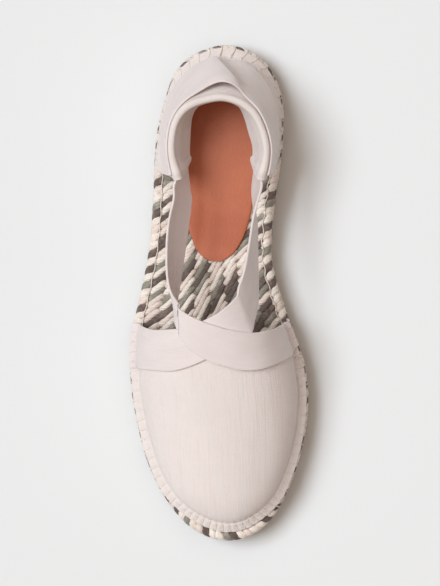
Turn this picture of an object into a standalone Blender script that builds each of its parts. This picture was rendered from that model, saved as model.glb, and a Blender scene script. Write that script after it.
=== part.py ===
"""A flat closed-toe espadrille for the right foot: rope sole, canvas vamp and counter, crossed elastic straps.

Metres, +Z up. The heel points to +Y, the toe to -Y, the inner (medial) side of the foot to +X.
The origin is on the floor, under the middle of the sole.
"""

from functools import lru_cache

import bmesh
import bpy
import numpy as np

# Driving sizes
LENGTH = 0.250
BALL_WIDTH = 0.0902
OUTSOLE_THICKNESS = 0.003
JUTE_THICKNESS = 0.014
INSOLE_THICKNESS = 0.0012
CROWN_HEIGHT = 0.0425
COLLAR_HEIGHT = 0.0445
CANVAS = 0.0016
ELASTIC = 0.0011
FACING_DROP = 0.018

# Form of the sole
TOE_SPRING = 0.0045
HEEL_SPRING = 0.0012
ARCH_LIFT = 0.0015
OUTSOLE_INSET = 0.0014
OUTSOLE_CHAMFER = 0.0009
CHAMFER_SHARE = 0.35
EDGE_ROUND = 0.0020

# Margins of the upper's inner face behind the sole's edge
SIDE_MARGIN = 0.0030
TOE_MARGIN = 0.0068
HEEL_MARGIN = 0.0066

# Clearances
GAP = 0.0003
FABRIC_GAP = 0.0005
BAND_STAND_OFF = 0.0032

# Places along the sole, as shares of its length from the heel
HEEL_FLAT_FROM = 0.06
ARCH_FROM = 0.35
ARCH_TO = 0.53
SPRING_FROM = 0.72
VAMP_REAR_MIDDLE = 0.602
VAMP_REAR_SIDE = 0.584
COUNTER_FRONT = 0.270
TOE_MARGIN_FROM = 0.90
HEEL_MARGIN_TO = 0.12

# Section of the vamp
RIDGE_SHARE = 0.53
FULLNESS = 2.25
FLARE = 0.0036
FLARE_HEIGHT = 0.0065

# Lean of the counter: its sides are upright above this share of the rise, and its back bends evenly
SIDES_UPRIGHT_FROM = 0.85
BACK_LEAN_POWER = 1.35
BACK_SHARPNESS = 3

# Heel band: its ends, in collar rows from the counter's front edges, and its edges as shares of the rise
HEEL_BAND_END = 0.35
HEEL_BAND_LOW = 0.42
HEEL_BAND_DIP = 0.20
HEEL_BAND_TOP = 0.93

# Strap ends inside the counter: places in collar rows from its front edge, and their edges down the facing
STRAP_END_ROWS = np.array([-0.35, 0.50, 1.40])
STRAP_END_LOW = 0.95
STRAP_END_TOP = 0.15

# Mesh fineness
OUTLINE_STEPS = 2
VAMP_LENGTHS = 19
VAMP_ANGLES = 26
HEM_CROWDING = 1.7
CURVE_SAMPLES = 14
COUNTER_PLACES = 35
COUNTER_RISES = 9
FACING_DROPS = 4
HEEL_BAND_PLACES = 31
HEEL_BAND_SHARES = 6
STRAP_WIDTHS = 5
STRAP_HEM_ROWS = 7
WELD = 1e-6
SHARP_ANGLE = np.radians(50)

# Outline of the sole, heel to toe: share of the length, and of the ball width on each side
OUTLINE_COLUMNS = ("along", "lateral", "medial")
OUTLINE = np.array([
    (0.000, 0.037, 0.037),
    (0.009, -0.085, 0.155),
    (0.032, -0.192, 0.253),
    (0.068, -0.265, 0.318),
    (0.115, -0.307, 0.356),
    (0.165, -0.343, 0.362),
    (0.225, -0.361, 0.349),
    (0.295, -0.369, 0.324),
    (0.365, -0.381, 0.299),
    (0.435, -0.404, 0.298),
    (0.505, -0.444, 0.347),
    (0.575, -0.487, 0.416),
    (0.640, -0.500, 0.478),
    (0.705, -0.489, 0.500),
    (0.770, -0.456, 0.489),
    (0.830, -0.413, 0.455),
    (0.885, -0.349, 0.404),
    (0.932, -0.268, 0.341),
    (0.968, -0.178, 0.264),
    (0.992, -0.064, 0.168),
    (1.000, 0.048, 0.048),
])

# Outline of the half sock, the same columns
SOCK = np.array([
    (0.038, 0.035, 0.035),
    (0.043, -0.075, 0.145),
    (0.062, -0.165, 0.222),
    (0.095, -0.222, 0.266),
    (0.140, -0.260, 0.290),
    (0.195, -0.282, 0.290),
    (0.250, -0.272, 0.262),
    (0.300, -0.240, 0.216),
    (0.345, -0.205, 0.184),
    (0.385, -0.165, 0.145),
    (0.416, -0.118, 0.092),
    (0.433, -0.065, 0.034),
    (0.437, -0.016, -0.016),
])

# Side of the rope sole, floor to top: share of its thickness, and how far in it lies as a share of the rounding
ROPE_SIDE = (
    (0.00, 0.85),
    (0.10, 0.25),
    (0.28, 0.00),
    (0.43, 0.20),
    (0.50, 0.45),
    (0.57, 0.20),
    (0.74, 0.00),
    (0.91, 0.28),
    (1.00, 0.95),
)

# Crown line of the vamp, from its toe back: share of the length, and of the crown height
CROWN = np.array([
    (0.000, 0.00),
    (0.004, 0.14),
    (0.019, 0.28),
    (0.050, 0.41),
    (0.100, 0.53),
    (0.160, 0.645),
    (0.230, 0.76),
    (0.300, 0.865),
    (0.370, 0.95),
    (0.440, 1.00),
    (0.520, 1.01),
])

# Collar, from the outer front corner round the heel to the inner one: how far the rim lies along and across,
# its height as a share of the collar height, then how far the facing's lower edge lies along and across
COLLAR = np.array([
    (0.275, -0.225, 0.82, 0.268, -0.172),
    (0.243, -0.246, 0.84, 0.236, -0.171),
    (0.210, -0.254, 0.89, 0.204, -0.167),
    (0.175, -0.241, 0.93, 0.172, -0.162),
    (0.147, -0.205, 0.97, 0.148, -0.152),
    (0.128, -0.144, 1.00, 0.128, -0.122),
    (0.118, -0.065, 1.00, 0.114, -0.058),
    (0.113, 0.022, 1.00, 0.109, 0.022),
    (0.117, 0.092, 1.00, 0.114, 0.088),
    (0.127, 0.154, 0.99, 0.129, 0.136),
    (0.146, 0.214, 0.97, 0.151, 0.165),
    (0.175, 0.256, 0.93, 0.178, 0.186),
    (0.210, 0.280, 0.89, 0.207, 0.208),
    (0.243, 0.276, 0.84, 0.238, 0.210),
    (0.275, 0.256, 0.82, 0.270, 0.206),
])
COLLAR_ENDS = (0.0, len(COLLAR) - 1.0)

# The two crossed bands where they lie on the vamp: front edge along and across, then rear edge along and across
UPPER_BAND = np.array([
    (0.612, 0.600, 0.530, 0.600),
    (0.623, 0.382, 0.565, 0.360),
    (0.638, 0.308, 0.575, 0.282),
    (0.646, 0.222, 0.579, 0.179),
    (0.646, 0.126, 0.571, 0.066),
    (0.636, 0.030, 0.561, -0.013),
    (0.623, -0.058, 0.553, -0.074),
    (0.603, -0.137, 0.542, -0.135),
    (0.579, -0.185, 0.530, -0.180),
])
LOWER_BAND = np.array([
    (0.650, -0.600, 0.566, -0.600),
    (0.649, -0.404, 0.568, -0.400),
    (0.650, -0.337, 0.574, -0.327),
    (0.650, -0.237, 0.571, -0.226),
    (0.641, -0.146, 0.565, -0.136),
    (0.625, -0.049, 0.553, -0.065),
    (0.611, 0.039, 0.541, 0.000),
    (0.595, 0.118, 0.524, 0.057),
    (0.579, 0.170, 0.508, 0.096),
])

# The same bands where they run free: lower edge along, across and up, then top edge along, across and up,
# with heights as shares of the crown height
OUTER_STRAP = np.array([
    (0.566, -0.204, 1.04, 0.521, -0.199, 1.005),
    (0.549, -0.219, 0.83, 0.511, -0.219, 0.965),
    (0.529, -0.217, 0.64, 0.497, -0.242, 0.935),
    (0.501, -0.209, 0.54, 0.476, -0.258, 0.910),
    (0.465, -0.196, 0.49, 0.446, -0.266, 0.888),
    (0.417, -0.177, 0.47, 0.402, -0.266, 0.865),
    (0.369, -0.159, 0.46, 0.357, -0.254, 0.860),
    (0.318, -0.142, 0.45, 0.313, -0.222, 0.850),
])
INNER_STRAP = np.array([
    (0.555, 0.197, 0.80, 0.490, 0.122, 0.965),
    (0.523, 0.214, 0.63, 0.471, 0.144, 0.935),
    (0.491, 0.217, 0.54, 0.452, 0.156, 0.910),
    (0.453, 0.214, 0.50, 0.427, 0.165, 0.888),
    (0.411, 0.212, 0.47, 0.389, 0.178, 0.865),
    (0.363, 0.209, 0.46, 0.351, 0.194, 0.860),
    (0.318, 0.186, 0.45, 0.313, 0.207, 0.850),
])

# Where the upper band rides over the lower one, across the ball width
CROSSING_FROM = 0.20
CROSSING_TO = 0.34

# Colours: linear red, green, blue, then roughness
FINISHES = {
    "outsole": ((0.30, 0.20, 0.12), 0.75),
    "jute_sole": ((0.52, 0.44, 0.36), 0.95),
    "insole": ((0.46, 0.17, 0.085), 0.50),
    "upper_vamp": ((0.80, 0.73, 0.68), 0.90),
    "upper_counter": ((0.79, 0.71, 0.66), 0.90),
    "heel_band": ((0.74, 0.68, 0.66), 0.85),
    "strap_upper": ((0.76, 0.69, 0.66), 0.85),
    "strap_lower": ((0.76, 0.69, 0.66), 0.85),
}

SOLE_TOP = OUTSOLE_THICKNESS + GAP + JUTE_THICKNESS


def through(rows, places, before=None, after=None):
    """Values at the given places, counted in rows, on the smooth curve through the rows."""
    before = 2 * rows[0] - rows[1] if before is None else before
    after = 2 * rows[-1] - rows[-2] if after is None else after
    padded = np.vstack([before, rows, after])
    places = np.asarray(places, float)
    first = np.clip(np.floor(places).astype(int), 0, len(rows) - 2)
    part = (places - first)[..., None]
    a, b, c, d = (padded[first + shift] for shift in range(4))
    bend = (2 * a - 5 * b + 4 * c - d) * part**2 + (3 * b - a - 3 * c + d) * part**3
    return 0.5 * (2 * b + (c - a) * part + bend)


def round_ended(rows, places):
    """The same for an outline, whose two sides run into each other at both ends."""
    swap = [OUTLINE_COLUMNS.index(name) for name in ("along", "medial", "lateral")]
    return through(rows, places, rows[1][swap], rows[-2][swap])


def ease(value):
    """0 below 0, 1 above 1, and a soft step between."""
    value = np.clip(value, 0.0, 1.0)
    return value * value * (3.0 - 2.0 * value)


def y_of(along):
    return (0.5 - along) * LENGTH


def along_of(y):
    return 0.5 - y / LENGTH


def spring(along):
    """Lift of the whole sole at the toe and the heel end."""
    toe = np.clip((along - SPRING_FROM) / (1.0 - SPRING_FROM), 0.0, None)
    heel = np.clip((HEEL_FLAT_FROM - along) / HEEL_FLAT_FROM, 0.0, None)
    return TOE_SPRING * toe**2 + HEEL_SPRING * heel**2


def arch(along):
    """Lift of the underside at the waist."""
    share = np.clip((along - ARCH_FROM) / (ARCH_TO - ARCH_FROM), 0.0, 1.0)
    return ARCH_LIFT * np.sin(np.pi * share) ** 2


def upper_base(along):
    """Height at which everything on top of the rope sole stands."""
    return SOLE_TOP + GAP + spring(along)


def margin(along):
    """Distance of the upper's inner face from the sole's edge."""
    toe = (TOE_MARGIN - SIDE_MARGIN) * ease((along - TOE_MARGIN_FROM) / (1.0 - TOE_MARGIN_FROM))
    heel = (HEEL_MARGIN - SIDE_MARGIN) * ease((HEEL_MARGIN_TO - along) / HEEL_MARGIN_TO)
    return SIDE_MARGIN + toe + heel


def outline_sides(rows, steps, inset):
    """Lateral and medial points of an outline from heel to toe, moved in by the inset along their normals."""
    places = np.linspace(0, len(rows) - 1, (len(rows) - 1) * steps + 1)
    curve = round_ended(rows, places)
    along = curve[:, OUTLINE_COLUMNS.index("along")]
    sides = []
    for name, sign in (("lateral", -1.0), ("medial", 1.0)):
        points = np.stack([curve[:, OUTLINE_COLUMNS.index(name)] * BALL_WIDTH, y_of(along)], axis=1)
        tangent = np.gradient(points, axis=0)
        tangent[0] = (sign, 0.0)
        tangent[-1] = (-sign, 0.0)
        normal = np.stack([-tangent[:, 1], tangent[:, 0]], axis=1) * sign
        normal /= np.linalg.norm(normal, axis=1)[:, None]
        depth = inset(along) if callable(inset) else inset
        sides.append(points - normal * np.reshape(depth, (-1, 1)))
    return sides


@lru_cache(maxsize=None)
def feather_line():
    """The inner foot of the upper, sampled finely: lateral and medial points from heel to toe."""
    return outline_sides(OUTLINE, CURVE_SAMPLES, margin)


@lru_cache(maxsize=None)
def dome_line():
    """The same line drawn in by the flare of the hem, where the vamp's dome would meet the sole."""
    return outline_sides(OUTLINE, CURVE_SAMPLES, lambda along: margin(along) + FLARE)


@lru_cache(maxsize=None)
def crown_line():
    """Length positions and heights of the vamp's crown, from the toe back."""
    places = np.linspace(0, len(CROWN) - 1, (len(CROWN) - 1) * CURVE_SAMPLES + 1)
    ghost = CROWN[1] * (1.0, -1.0)
    curve = through(CROWN, places, before=ghost)
    toe_y = dome_line()[0][-1][1]
    return toe_y + curve[:, 0] * LENGTH, curve[:, 1] * CROWN_HEIGHT


def vamp_frame(along):
    """Ridge position, reach to each side and rise of the vamp's section, and each side's outward direction."""
    y = y_of(along)
    edges = []
    outwards = []
    for dome, foot in zip(dome_line(), feather_line()):
        edges.append(np.interp(-y, -dome[:, 1], dome[:, 0]))
        away = (foot - dome) / FLARE
        outwards.append(np.stack([np.interp(-y, -dome[:, 1], away[:, axis]) for axis in (0, 1)], axis=-1))
    lateral, medial = edges
    ridge = lateral + (medial - lateral) * RIDGE_SHARE
    crown_y, crown_z = crown_line()
    return ridge, ridge - lateral, medial - ridge, np.interp(y, crown_y, crown_z), outwards


def vamp_point(along, turn):
    """Inner face of the vamp; turn runs from -1 at the lateral foot over the crown to 1 at the medial foot."""
    along, turn = np.broadcast_arrays(along, turn)
    ridge, outer, inner, rise, (to_lateral, to_medial) = vamp_frame(along)
    angle = turn * np.pi / 2
    power = 2.0 / FULLNESS
    reach = np.where(turn < 0, outer, inner)
    x = ridge + np.sign(turn) * reach * np.abs(np.sin(angle)) ** power
    lift = rise * np.clip(np.cos(angle), 0.0, 1.0) ** power
    medial_share = (turn[..., None] + 1.0) / 2.0
    outward = to_lateral * (1.0 - medial_share) + to_medial * medial_share
    flare = FLARE * np.clip(1.0 - lift / FLARE_HEIGHT, 0.0, 1.0) ** 2
    plan = np.stack([x, y_of(along)], axis=-1) + outward * flare[..., None]
    base = upper_base(along + 2 * CANVAS / LENGTH)
    return np.concatenate([plan, (base + lift)[..., None]], axis=-1)


def turn_of(along, across):
    """The turn on the vamp that lies under a place given across the ball width."""
    ridge, outer, inner, _, _ = vamp_frame(along)
    offset = across * BALL_WIDTH - ridge
    reach = np.where(offset < 0, outer, inner)
    share = np.clip(np.abs(offset) / reach, 0.0, 1.0)
    return np.sign(offset) * np.arcsin(share ** (FULLNESS / 2.0)) * 2 / np.pi


@lru_cache(maxsize=None)
def counter_foot():
    """The counter's inner foot line, from the outer front edge round the heel, with its length shares."""
    lateral, medial = feather_line()
    front = y_of(COUNTER_FRONT)
    path = np.vstack([lateral[lateral[:, 1] > front][::-1], medial[medial[:, 1] > front][1:]])
    steps = np.linalg.norm(np.diff(path, axis=0), axis=1)
    shares = np.concatenate([[0.0], np.cumsum(steps)])
    return path, shares / shares[-1]


def collar_rows(place):
    """Rim and facing edge at a place counted in collar rows."""
    along, across, up, facing_along, facing_across = np.moveaxis(through(COLLAR, place), -1, 0)
    height = SOLE_TOP + up * COLLAR_HEIGHT
    rim = np.stack([across * BALL_WIDTH, y_of(along), height], axis=-1)
    facing = np.stack([facing_across * BALL_WIDTH, y_of(facing_along), height - FACING_DROP], axis=-1)
    return rim, facing


def at_back(place):
    """1 behind the heel, falling to 0 at the counter's front edges."""
    return np.sin(np.pi * place / COLLAR_ENDS[1]) ** BACK_SHARPNESS


def counter_point(place, rise):
    """Inner face of the counter's wall, from its foot (rise 0) to its rim (rise 1)."""
    path, shares = counter_foot()
    share = place / COLLAR_ENDS[1]
    foot_x = np.interp(share, shares, path[:, 0])
    foot_y = np.interp(share, shares, path[:, 1])
    foot_z = upper_base(along_of(foot_y))
    rim, _ = collar_rows(place)
    back = at_back(place)
    lean = (1 - back) * ease(rise / SIDES_UPRIGHT_FROM) + back * rise**BACK_LEAN_POWER
    x = foot_x + (rim[..., 0] - foot_x) * lean
    y = foot_y + (rim[..., 1] - foot_y) * lean
    z = foot_z + (rim[..., 2] - foot_z) * rise
    return np.stack([x, y, z], axis=-1)


def facing_point(place, drop):
    """Hidden face of the turned-in facing, from the fold (drop 0) to its lower edge (drop 1)."""
    rim, edge = collar_rows(place)
    centre = np.array([0.0, y_of(COUNTER_FRONT), 0.0])
    inward = (centre - rim) * (1.0, 1.0, 0.0)
    inward /= np.linalg.norm(inward, axis=-1)[..., None]
    fold = rim + inward * CANVAS
    return fold + (edge - fold) * np.asarray(drop)[..., None]


def off_vamp(along, turn, distance, step=0.004):
    """Points outside the vamp's inner face, at a distance from it."""
    forward = vamp_point(along + step, turn) - vamp_point(along - step, turn)
    over = vamp_point(along, np.clip(turn + step, -1, 1)) - vamp_point(along, np.clip(turn - step, -1, 1))
    normal = np.cross(forward, over)
    normal /= np.linalg.norm(normal, axis=-1)[..., None]
    return vamp_point(along, turn) + normal * np.asarray(distance)[..., None]


def off_collar(surface, place, share, distance, step=0.02):
    """Points outside the counter's inner face, or on the foot side of its facing, at a distance."""
    round_heel = surface(place + step, share) - surface(place - step, share)
    up_or_down = surface(place, share + step) - surface(place, share - step)
    normal = np.cross(up_or_down, round_heel)
    normal /= np.linalg.norm(normal, axis=-1)[..., None]
    return surface(place, share) + normal * np.asarray(distance)[..., None]


def material_for(name):
    """A plain material in the piece's colour."""
    colour, roughness = FINISHES[name]
    material = bpy.data.materials.new(name)
    material.use_nodes = True
    shader = material.node_tree.nodes["Principled BSDF"]
    shader.inputs["Base Color"].default_value = (*colour, 1.0)
    shader.inputs["Roughness"].default_value = roughness
    shader.inputs["Metallic"].default_value = 0.0
    return material


def add_object(name, points, faces, collection):
    """An object from points and faces, with doubled points welded and smooth shading up to sharp edges."""
    mesh = bpy.data.meshes.new(name)
    mesh.from_pydata([tuple(map(float, point)) for point in points], [], faces)
    work = bmesh.new()
    work.from_mesh(mesh)
    bmesh.ops.remove_doubles(work, verts=work.verts, dist=WELD)
    work.to_mesh(mesh)
    work.free()
    mesh.materials.append(material_for(name))
    mesh.shade_smooth()
    mesh.set_sharp_from_angle(angle=SHARP_ANGLE)
    piece = bpy.data.objects.new(name, mesh)
    collection.objects.link(piece)
    return piece


def slab(name, rows, levels, collection):
    """A closed piece inside an outline, from rings at the given insets and heights, floor to top."""
    points = []
    for inset, height in levels:
        lateral, medial = outline_sides(rows, OUTLINE_STEPS, inset)
        ring = np.vstack([lateral, medial[-2:0:-1]])
        points.append(np.column_stack([ring, height(along_of(ring[:, 1]))]))
    size = len(points[0])
    half = size // 2
    faces = []
    for level in range(len(levels) - 1):
        for i in range(size):
            a, b = level * size + i, level * size + (i + 1) % size
            faces.append((a, a + size, b + size, b))
    for level, flip in ((0, False), (len(levels) - 1, True)):
        for i in range(half):
            corners = [i, i + 1, size - i - 1, (size - i) % size]
            cap = [level * size + corner for corner in dict.fromkeys(corners)]
            faces.append(tuple(cap[::-1] if flip else cap))
    piece = add_object(name, np.vstack(points), faces, collection)
    work = bmesh.new()
    work.from_mesh(piece.data)
    bmesh.ops.recalc_face_normals(work, faces=work.faces)
    work.to_mesh(piece.data)
    work.free()
    return piece


def sheet(name, grid, thickness, collection):
    """A wall of even thickness that stands outwards from a grid of points."""
    rows, columns, _ = grid.shape
    faces = []
    for i in range(rows - 1):
        for j in range(columns - 1):
            corner = i * columns + j
            faces.append((corner, corner + 1, corner + columns + 1, corner + columns))
    piece = add_object(name, grid.reshape(-1, 3), faces, collection)
    wall = piece.modifiers.new("wall", "SOLIDIFY")
    wall.thickness = thickness
    wall.offset = 1.0
    return piece


def build_outsole(collection):
    def bottom(along):
        return spring(along) + arch(along)

    def top(along):
        return bottom(along) + OUTSOLE_THICKNESS

    def middle(along):
        return bottom(along) + CHAMFER_SHARE * OUTSOLE_THICKNESS

    levels = (
        (OUTSOLE_INSET + OUTSOLE_CHAMFER, bottom),
        (OUTSOLE_INSET, middle),
        (OUTSOLE_INSET, top),
    )
    return slab("outsole", OUTLINE, levels, collection)


def build_jute_sole(collection):
    def height_at(share):
        def height(along):
            low = spring(along) + arch(along) + OUTSOLE_THICKNESS + GAP
            return low + (SOLE_TOP + spring(along) - low) * share

        return height

    levels = [(EDGE_ROUND * inset, height_at(share)) for share, inset in ROPE_SIDE]
    return slab("jute_sole", OUTLINE, levels, collection)


def build_insole(collection):
    def bottom(along):
        return upper_base(along)

    def top(along):
        return upper_base(along) + INSOLE_THICKNESS

    return slab("insole", SOCK, ((0.0, bottom), (0.0, top)), collection)


def build_vamp(collection):
    """The toe part: its sections close up round the toe and it stays open underneath and at the throat."""
    toe = along_of(dome_line()[0][-1][1])
    even = np.linspace(-1.0, 1.0, VAMP_ANGLES + 1)
    turns = np.sign(even) * (1.0 - (1.0 - np.abs(even)) ** HEM_CROWDING)
    steps = np.sin(np.linspace(0.0, np.pi / 2, VAMP_LENGTHS + 1))
    turn, step = np.meshgrid(turns, steps)
    rear = VAMP_REAR_MIDDLE + (VAMP_REAR_SIDE - VAMP_REAR_MIDDLE) * np.abs(turn) ** 2
    grid = vamp_point(rear + (toe - rear) * step, turn)
    return sheet("upper_vamp", grid[:, ::-1], CANVAS, collection)


def build_counter(collection):
    """The heel part: a wall that leans in to the rim, and the facing turned in at the rim."""
    places = np.linspace(*COLLAR_ENDS, COUNTER_PLACES)
    rises = np.linspace(0.0, 1.0, COUNTER_RISES)
    drops = np.linspace(0.0, 1.0, FACING_DROPS)
    place, rise = np.meshgrid(places, rises, indexing="ij")
    wall = counter_point(place, rise)
    place, drop = np.meshgrid(places, drops, indexing="ij")
    grid = np.concatenate([wall, facing_point(place, drop)], axis=1)
    return sheet("upper_counter", grid, CANVAS, collection)


def build_heel_band(collection):
    """The wide elastic round the outside of the counter, a little off it at the top of the back."""
    places = np.linspace(HEEL_BAND_END, COLLAR_ENDS[1] - HEEL_BAND_END, HEEL_BAND_PLACES)
    shares = np.linspace(0.0, 1.0, HEEL_BAND_SHARES)
    place, share = np.meshgrid(places, shares, indexing="ij")
    back = at_back(place)
    low = HEEL_BAND_LOW - HEEL_BAND_DIP * back
    rise = low + (HEEL_BAND_TOP - low) * share
    stand_off = BAND_STAND_OFF * back**2 * share**2
    grid = off_collar(counter_point, place, rise, CANVAS + FABRIC_GAP + stand_off)
    return sheet("heel_band", grid, ELASTIC, collection)


def band_on_vamp(table, lift, places, width):
    """Grid of a crossed band's foot side where it lies on the vamp."""
    turned = table.copy()
    for along, across in ((0, 1), (2, 3)):
        turned[:, across] = turn_of(table[:, along], table[:, across])
    rows = through(turned, places)[:, None, :]
    share = width[None, :]
    along = rows[..., 0] + (rows[..., 2] - rows[..., 0]) * share
    turn = np.clip(rows[..., 1] + (rows[..., 3] - rows[..., 1]) * share, -1.0, 1.0)
    across = vamp_point(along, turn)[..., 0] / BALL_WIDTH
    over = ease((CROSSING_TO - across) / (CROSSING_TO - CROSSING_FROM))
    height = CANVAS + FABRIC_GAP + lift * (ELASTIC + FABRIC_GAP) * over
    return off_vamp(along, turn, height)


def strap_rows(table, width):
    """The same for the free strap."""
    edges = []
    for along, across, up in ((0, 1, 2), (3, 4, 5)):
        z = SOLE_TOP + table[:, up] * CROWN_HEIGHT
        edges.append(np.stack([table[:, across] * BALL_WIDTH, y_of(table[:, along]), z], axis=-1))
    low, top = edges
    return low[:, None, :] + (top - low)[:, None, :] * width[None, :, None]


def strap_end(corner, inwards, width):
    """The end of a strap, sewn to the foot side of the counter's facing."""
    places = corner + inwards * STRAP_END_ROWS
    shares = STRAP_END_LOW + (STRAP_END_TOP - STRAP_END_LOW) * width
    place, share = np.meshgrid(places, shares, indexing="ij")
    return off_collar(facing_point, place, share, CANVAS + FABRIC_GAP + ELASTIC)


def build_strap(name, band, strap, corner, inwards, lift, collection):
    """One elastic band from its hem at the sole over the vamp and along the foot to the counter."""
    width = np.linspace(0.0, 1.0, STRAP_WIDTHS)
    last = len(band) - 1
    hem = np.linspace(0.0, 1.0, STRAP_HEM_ROWS)[:-1] ** HEM_CROWDING
    places = np.concatenate([hem, np.linspace(1, last, (last - 1) * 2 + 1)])
    on_vamp = band_on_vamp(band, lift, places, width)
    free_rows = strap_rows(strap, width)
    rows = np.concatenate([on_vamp[-3:-1:2], on_vamp[-1:], free_rows, strap_end(corner, inwards, width)])
    flat = rows.reshape(len(rows), -1)
    free = through(flat, np.linspace(1, len(rows) - 1, (len(rows) - 2) * 2 + 1)).reshape(-1, len(width), 3)
    grid = np.concatenate([on_vamp[:-1], free])
    if inwards < 0:
        grid = grid[:, ::-1]
    return sheet(name, grid, ELASTIC, collection)


def clear_scene():
    for piece in list(bpy.data.objects):
        bpy.data.objects.remove(piece, do_unlink=True)


def main():
    clear_scene()
    collection = bpy.data.collections.new("espadrille")
    bpy.context.scene.collection.children.link(collection)
    build_outsole(collection)
    build_jute_sole(collection)
    build_insole(collection)
    build_vamp(collection)
    build_counter(collection)
    build_heel_band(collection)
    build_strap("strap_upper", UPPER_BAND, OUTER_STRAP, COLLAR_ENDS[0], 1.0, 1.0, collection)
    build_strap("strap_lower", LOWER_BAND, INNER_STRAP, COLLAR_ENDS[1], -1.0, 0.0, collection)


main()
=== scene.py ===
"""Looks of a flat closed-toe espadrille: braided rope, canvas, elastic webbing, leather and thread.

Metres, +Z up. The heel points to +Y, the toe to -Y, the inner (medial) side of the foot to +X.
"""

import logging
from dataclasses import dataclass, field
from enum import Enum
from functools import cached_property
from typing import Callable

import bmesh
import bpy
import numpy as np
from mathutils import Matrix, Vector


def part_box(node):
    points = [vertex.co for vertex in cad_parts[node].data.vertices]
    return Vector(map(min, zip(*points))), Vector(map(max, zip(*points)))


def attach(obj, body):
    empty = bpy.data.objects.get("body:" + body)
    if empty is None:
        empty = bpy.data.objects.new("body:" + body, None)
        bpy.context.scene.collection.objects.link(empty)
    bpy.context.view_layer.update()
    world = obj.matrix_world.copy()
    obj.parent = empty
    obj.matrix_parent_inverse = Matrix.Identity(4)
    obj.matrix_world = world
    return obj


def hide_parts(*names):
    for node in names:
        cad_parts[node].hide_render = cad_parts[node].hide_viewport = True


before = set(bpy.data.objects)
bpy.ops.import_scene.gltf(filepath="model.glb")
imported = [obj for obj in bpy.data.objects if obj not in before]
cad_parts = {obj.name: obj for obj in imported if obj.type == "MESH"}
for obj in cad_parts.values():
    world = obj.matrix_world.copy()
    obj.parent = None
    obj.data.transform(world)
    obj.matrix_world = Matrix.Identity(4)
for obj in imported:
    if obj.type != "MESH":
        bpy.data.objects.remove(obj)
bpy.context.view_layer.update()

Array = np.ndarray
Value = "Signal | float | tuple"
LOG = logging.getLogger("espadrille")

MM = 0.001
GAP = 0.3 * MM
ROOT = "root"

# Outline of the sole, heel to toe: share of the length, then shares of the ball width, lateral and medial
OUTLINE = np.array([
    (0.000, 0.037, 0.037),
    (0.009, -0.085, 0.155),
    (0.032, -0.192, 0.253),
    (0.068, -0.265, 0.318),
    (0.115, -0.307, 0.356),
    (0.165, -0.343, 0.362),
    (0.225, -0.361, 0.349),
    (0.295, -0.369, 0.324),
    (0.365, -0.381, 0.299),
    (0.435, -0.404, 0.298),
    (0.505, -0.444, 0.347),
    (0.575, -0.487, 0.416),
    (0.640, -0.500, 0.478),
    (0.705, -0.489, 0.500),
    (0.770, -0.456, 0.489),
    (0.830, -0.413, 0.455),
    (0.885, -0.349, 0.404),
    (0.932, -0.268, 0.341),
    (0.968, -0.178, 0.264),
    (0.992, -0.064, 0.168),
    (1.000, 0.048, 0.048),
])

# Outline of the half sock, the same columns
SOCK = np.array([
    (0.038, 0.035, 0.035),
    (0.043, -0.075, 0.145),
    (0.062, -0.165, 0.222),
    (0.095, -0.222, 0.266),
    (0.140, -0.260, 0.290),
    (0.195, -0.282, 0.290),
    (0.250, -0.252, 0.246),
    (0.300, -0.216, 0.202),
    (0.345, -0.188, 0.176),
    (0.385, -0.156, 0.142),
    (0.416, -0.118, 0.092),
    (0.433, -0.065, 0.034),
    (0.437, -0.016, -0.016),
])

# Crown line of the vamp, from its toe back: share of the length, and of the crown height
CROWN = np.array([
    (0.000, 0.00),
    (0.004, 0.14),
    (0.019, 0.28),
    (0.050, 0.41),
    (0.100, 0.53),
    (0.160, 0.645),
    (0.230, 0.76),
    (0.300, 0.865),
    (0.370, 0.95),
    (0.440, 1.00),
    (0.520, 1.01),
])

# Collar, from the outer front corner round the heel to the inner one: how far the rim lies along and across,
# its height as a share of the collar height, then how far the facing's lower edge lies along and across
COLLAR = np.array([
    (0.275, -0.225, 0.82, 0.268, -0.172),
    (0.243, -0.246, 0.84, 0.236, -0.171),
    (0.210, -0.254, 0.89, 0.204, -0.167),
    (0.175, -0.241, 0.93, 0.172, -0.162),
    (0.147, -0.205, 0.97, 0.148, -0.152),
    (0.128, -0.144, 1.00, 0.128, -0.122),
    (0.118, -0.065, 1.00, 0.114, -0.058),
    (0.113, 0.022, 1.00, 0.109, 0.022),
    (0.117, 0.092, 1.00, 0.114, 0.088),
    (0.127, 0.154, 0.99, 0.129, 0.136),
    (0.146, 0.214, 0.97, 0.151, 0.165),
    (0.175, 0.256, 0.93, 0.178, 0.186),
    (0.210, 0.280, 0.89, 0.207, 0.208),
    (0.243, 0.276, 0.84, 0.238, 0.210),
    (0.275, 0.256, 0.82, 0.270, 0.206),
])

# The two crossed bands where they lie on the vamp: front edge along and across, then rear edge the same
UPPER_BAND = np.array([
    (0.614, 0.600, 0.562, 0.600),
    (0.623, 0.382, 0.565, 0.360),
    (0.638, 0.308, 0.575, 0.282),
    (0.646, 0.222, 0.579, 0.179),
    (0.646, 0.126, 0.571, 0.066),
    (0.636, 0.030, 0.561, -0.013),
    (0.623, -0.058, 0.553, -0.074),
    (0.603, -0.137, 0.542, -0.135),
    (0.579, -0.185, 0.530, -0.180),
])
LOWER_BAND = np.array([
    (0.650, -0.600, 0.566, -0.600),
    (0.649, -0.404, 0.568, -0.400),
    (0.650, -0.337, 0.574, -0.327),
    (0.650, -0.237, 0.571, -0.226),
    (0.641, -0.146, 0.565, -0.136),
    (0.625, -0.049, 0.553, -0.065),
    (0.611, 0.039, 0.541, 0.000),
    (0.595, 0.118, 0.524, 0.057),
    (0.579, 0.170, 0.508, 0.096),
])

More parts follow.
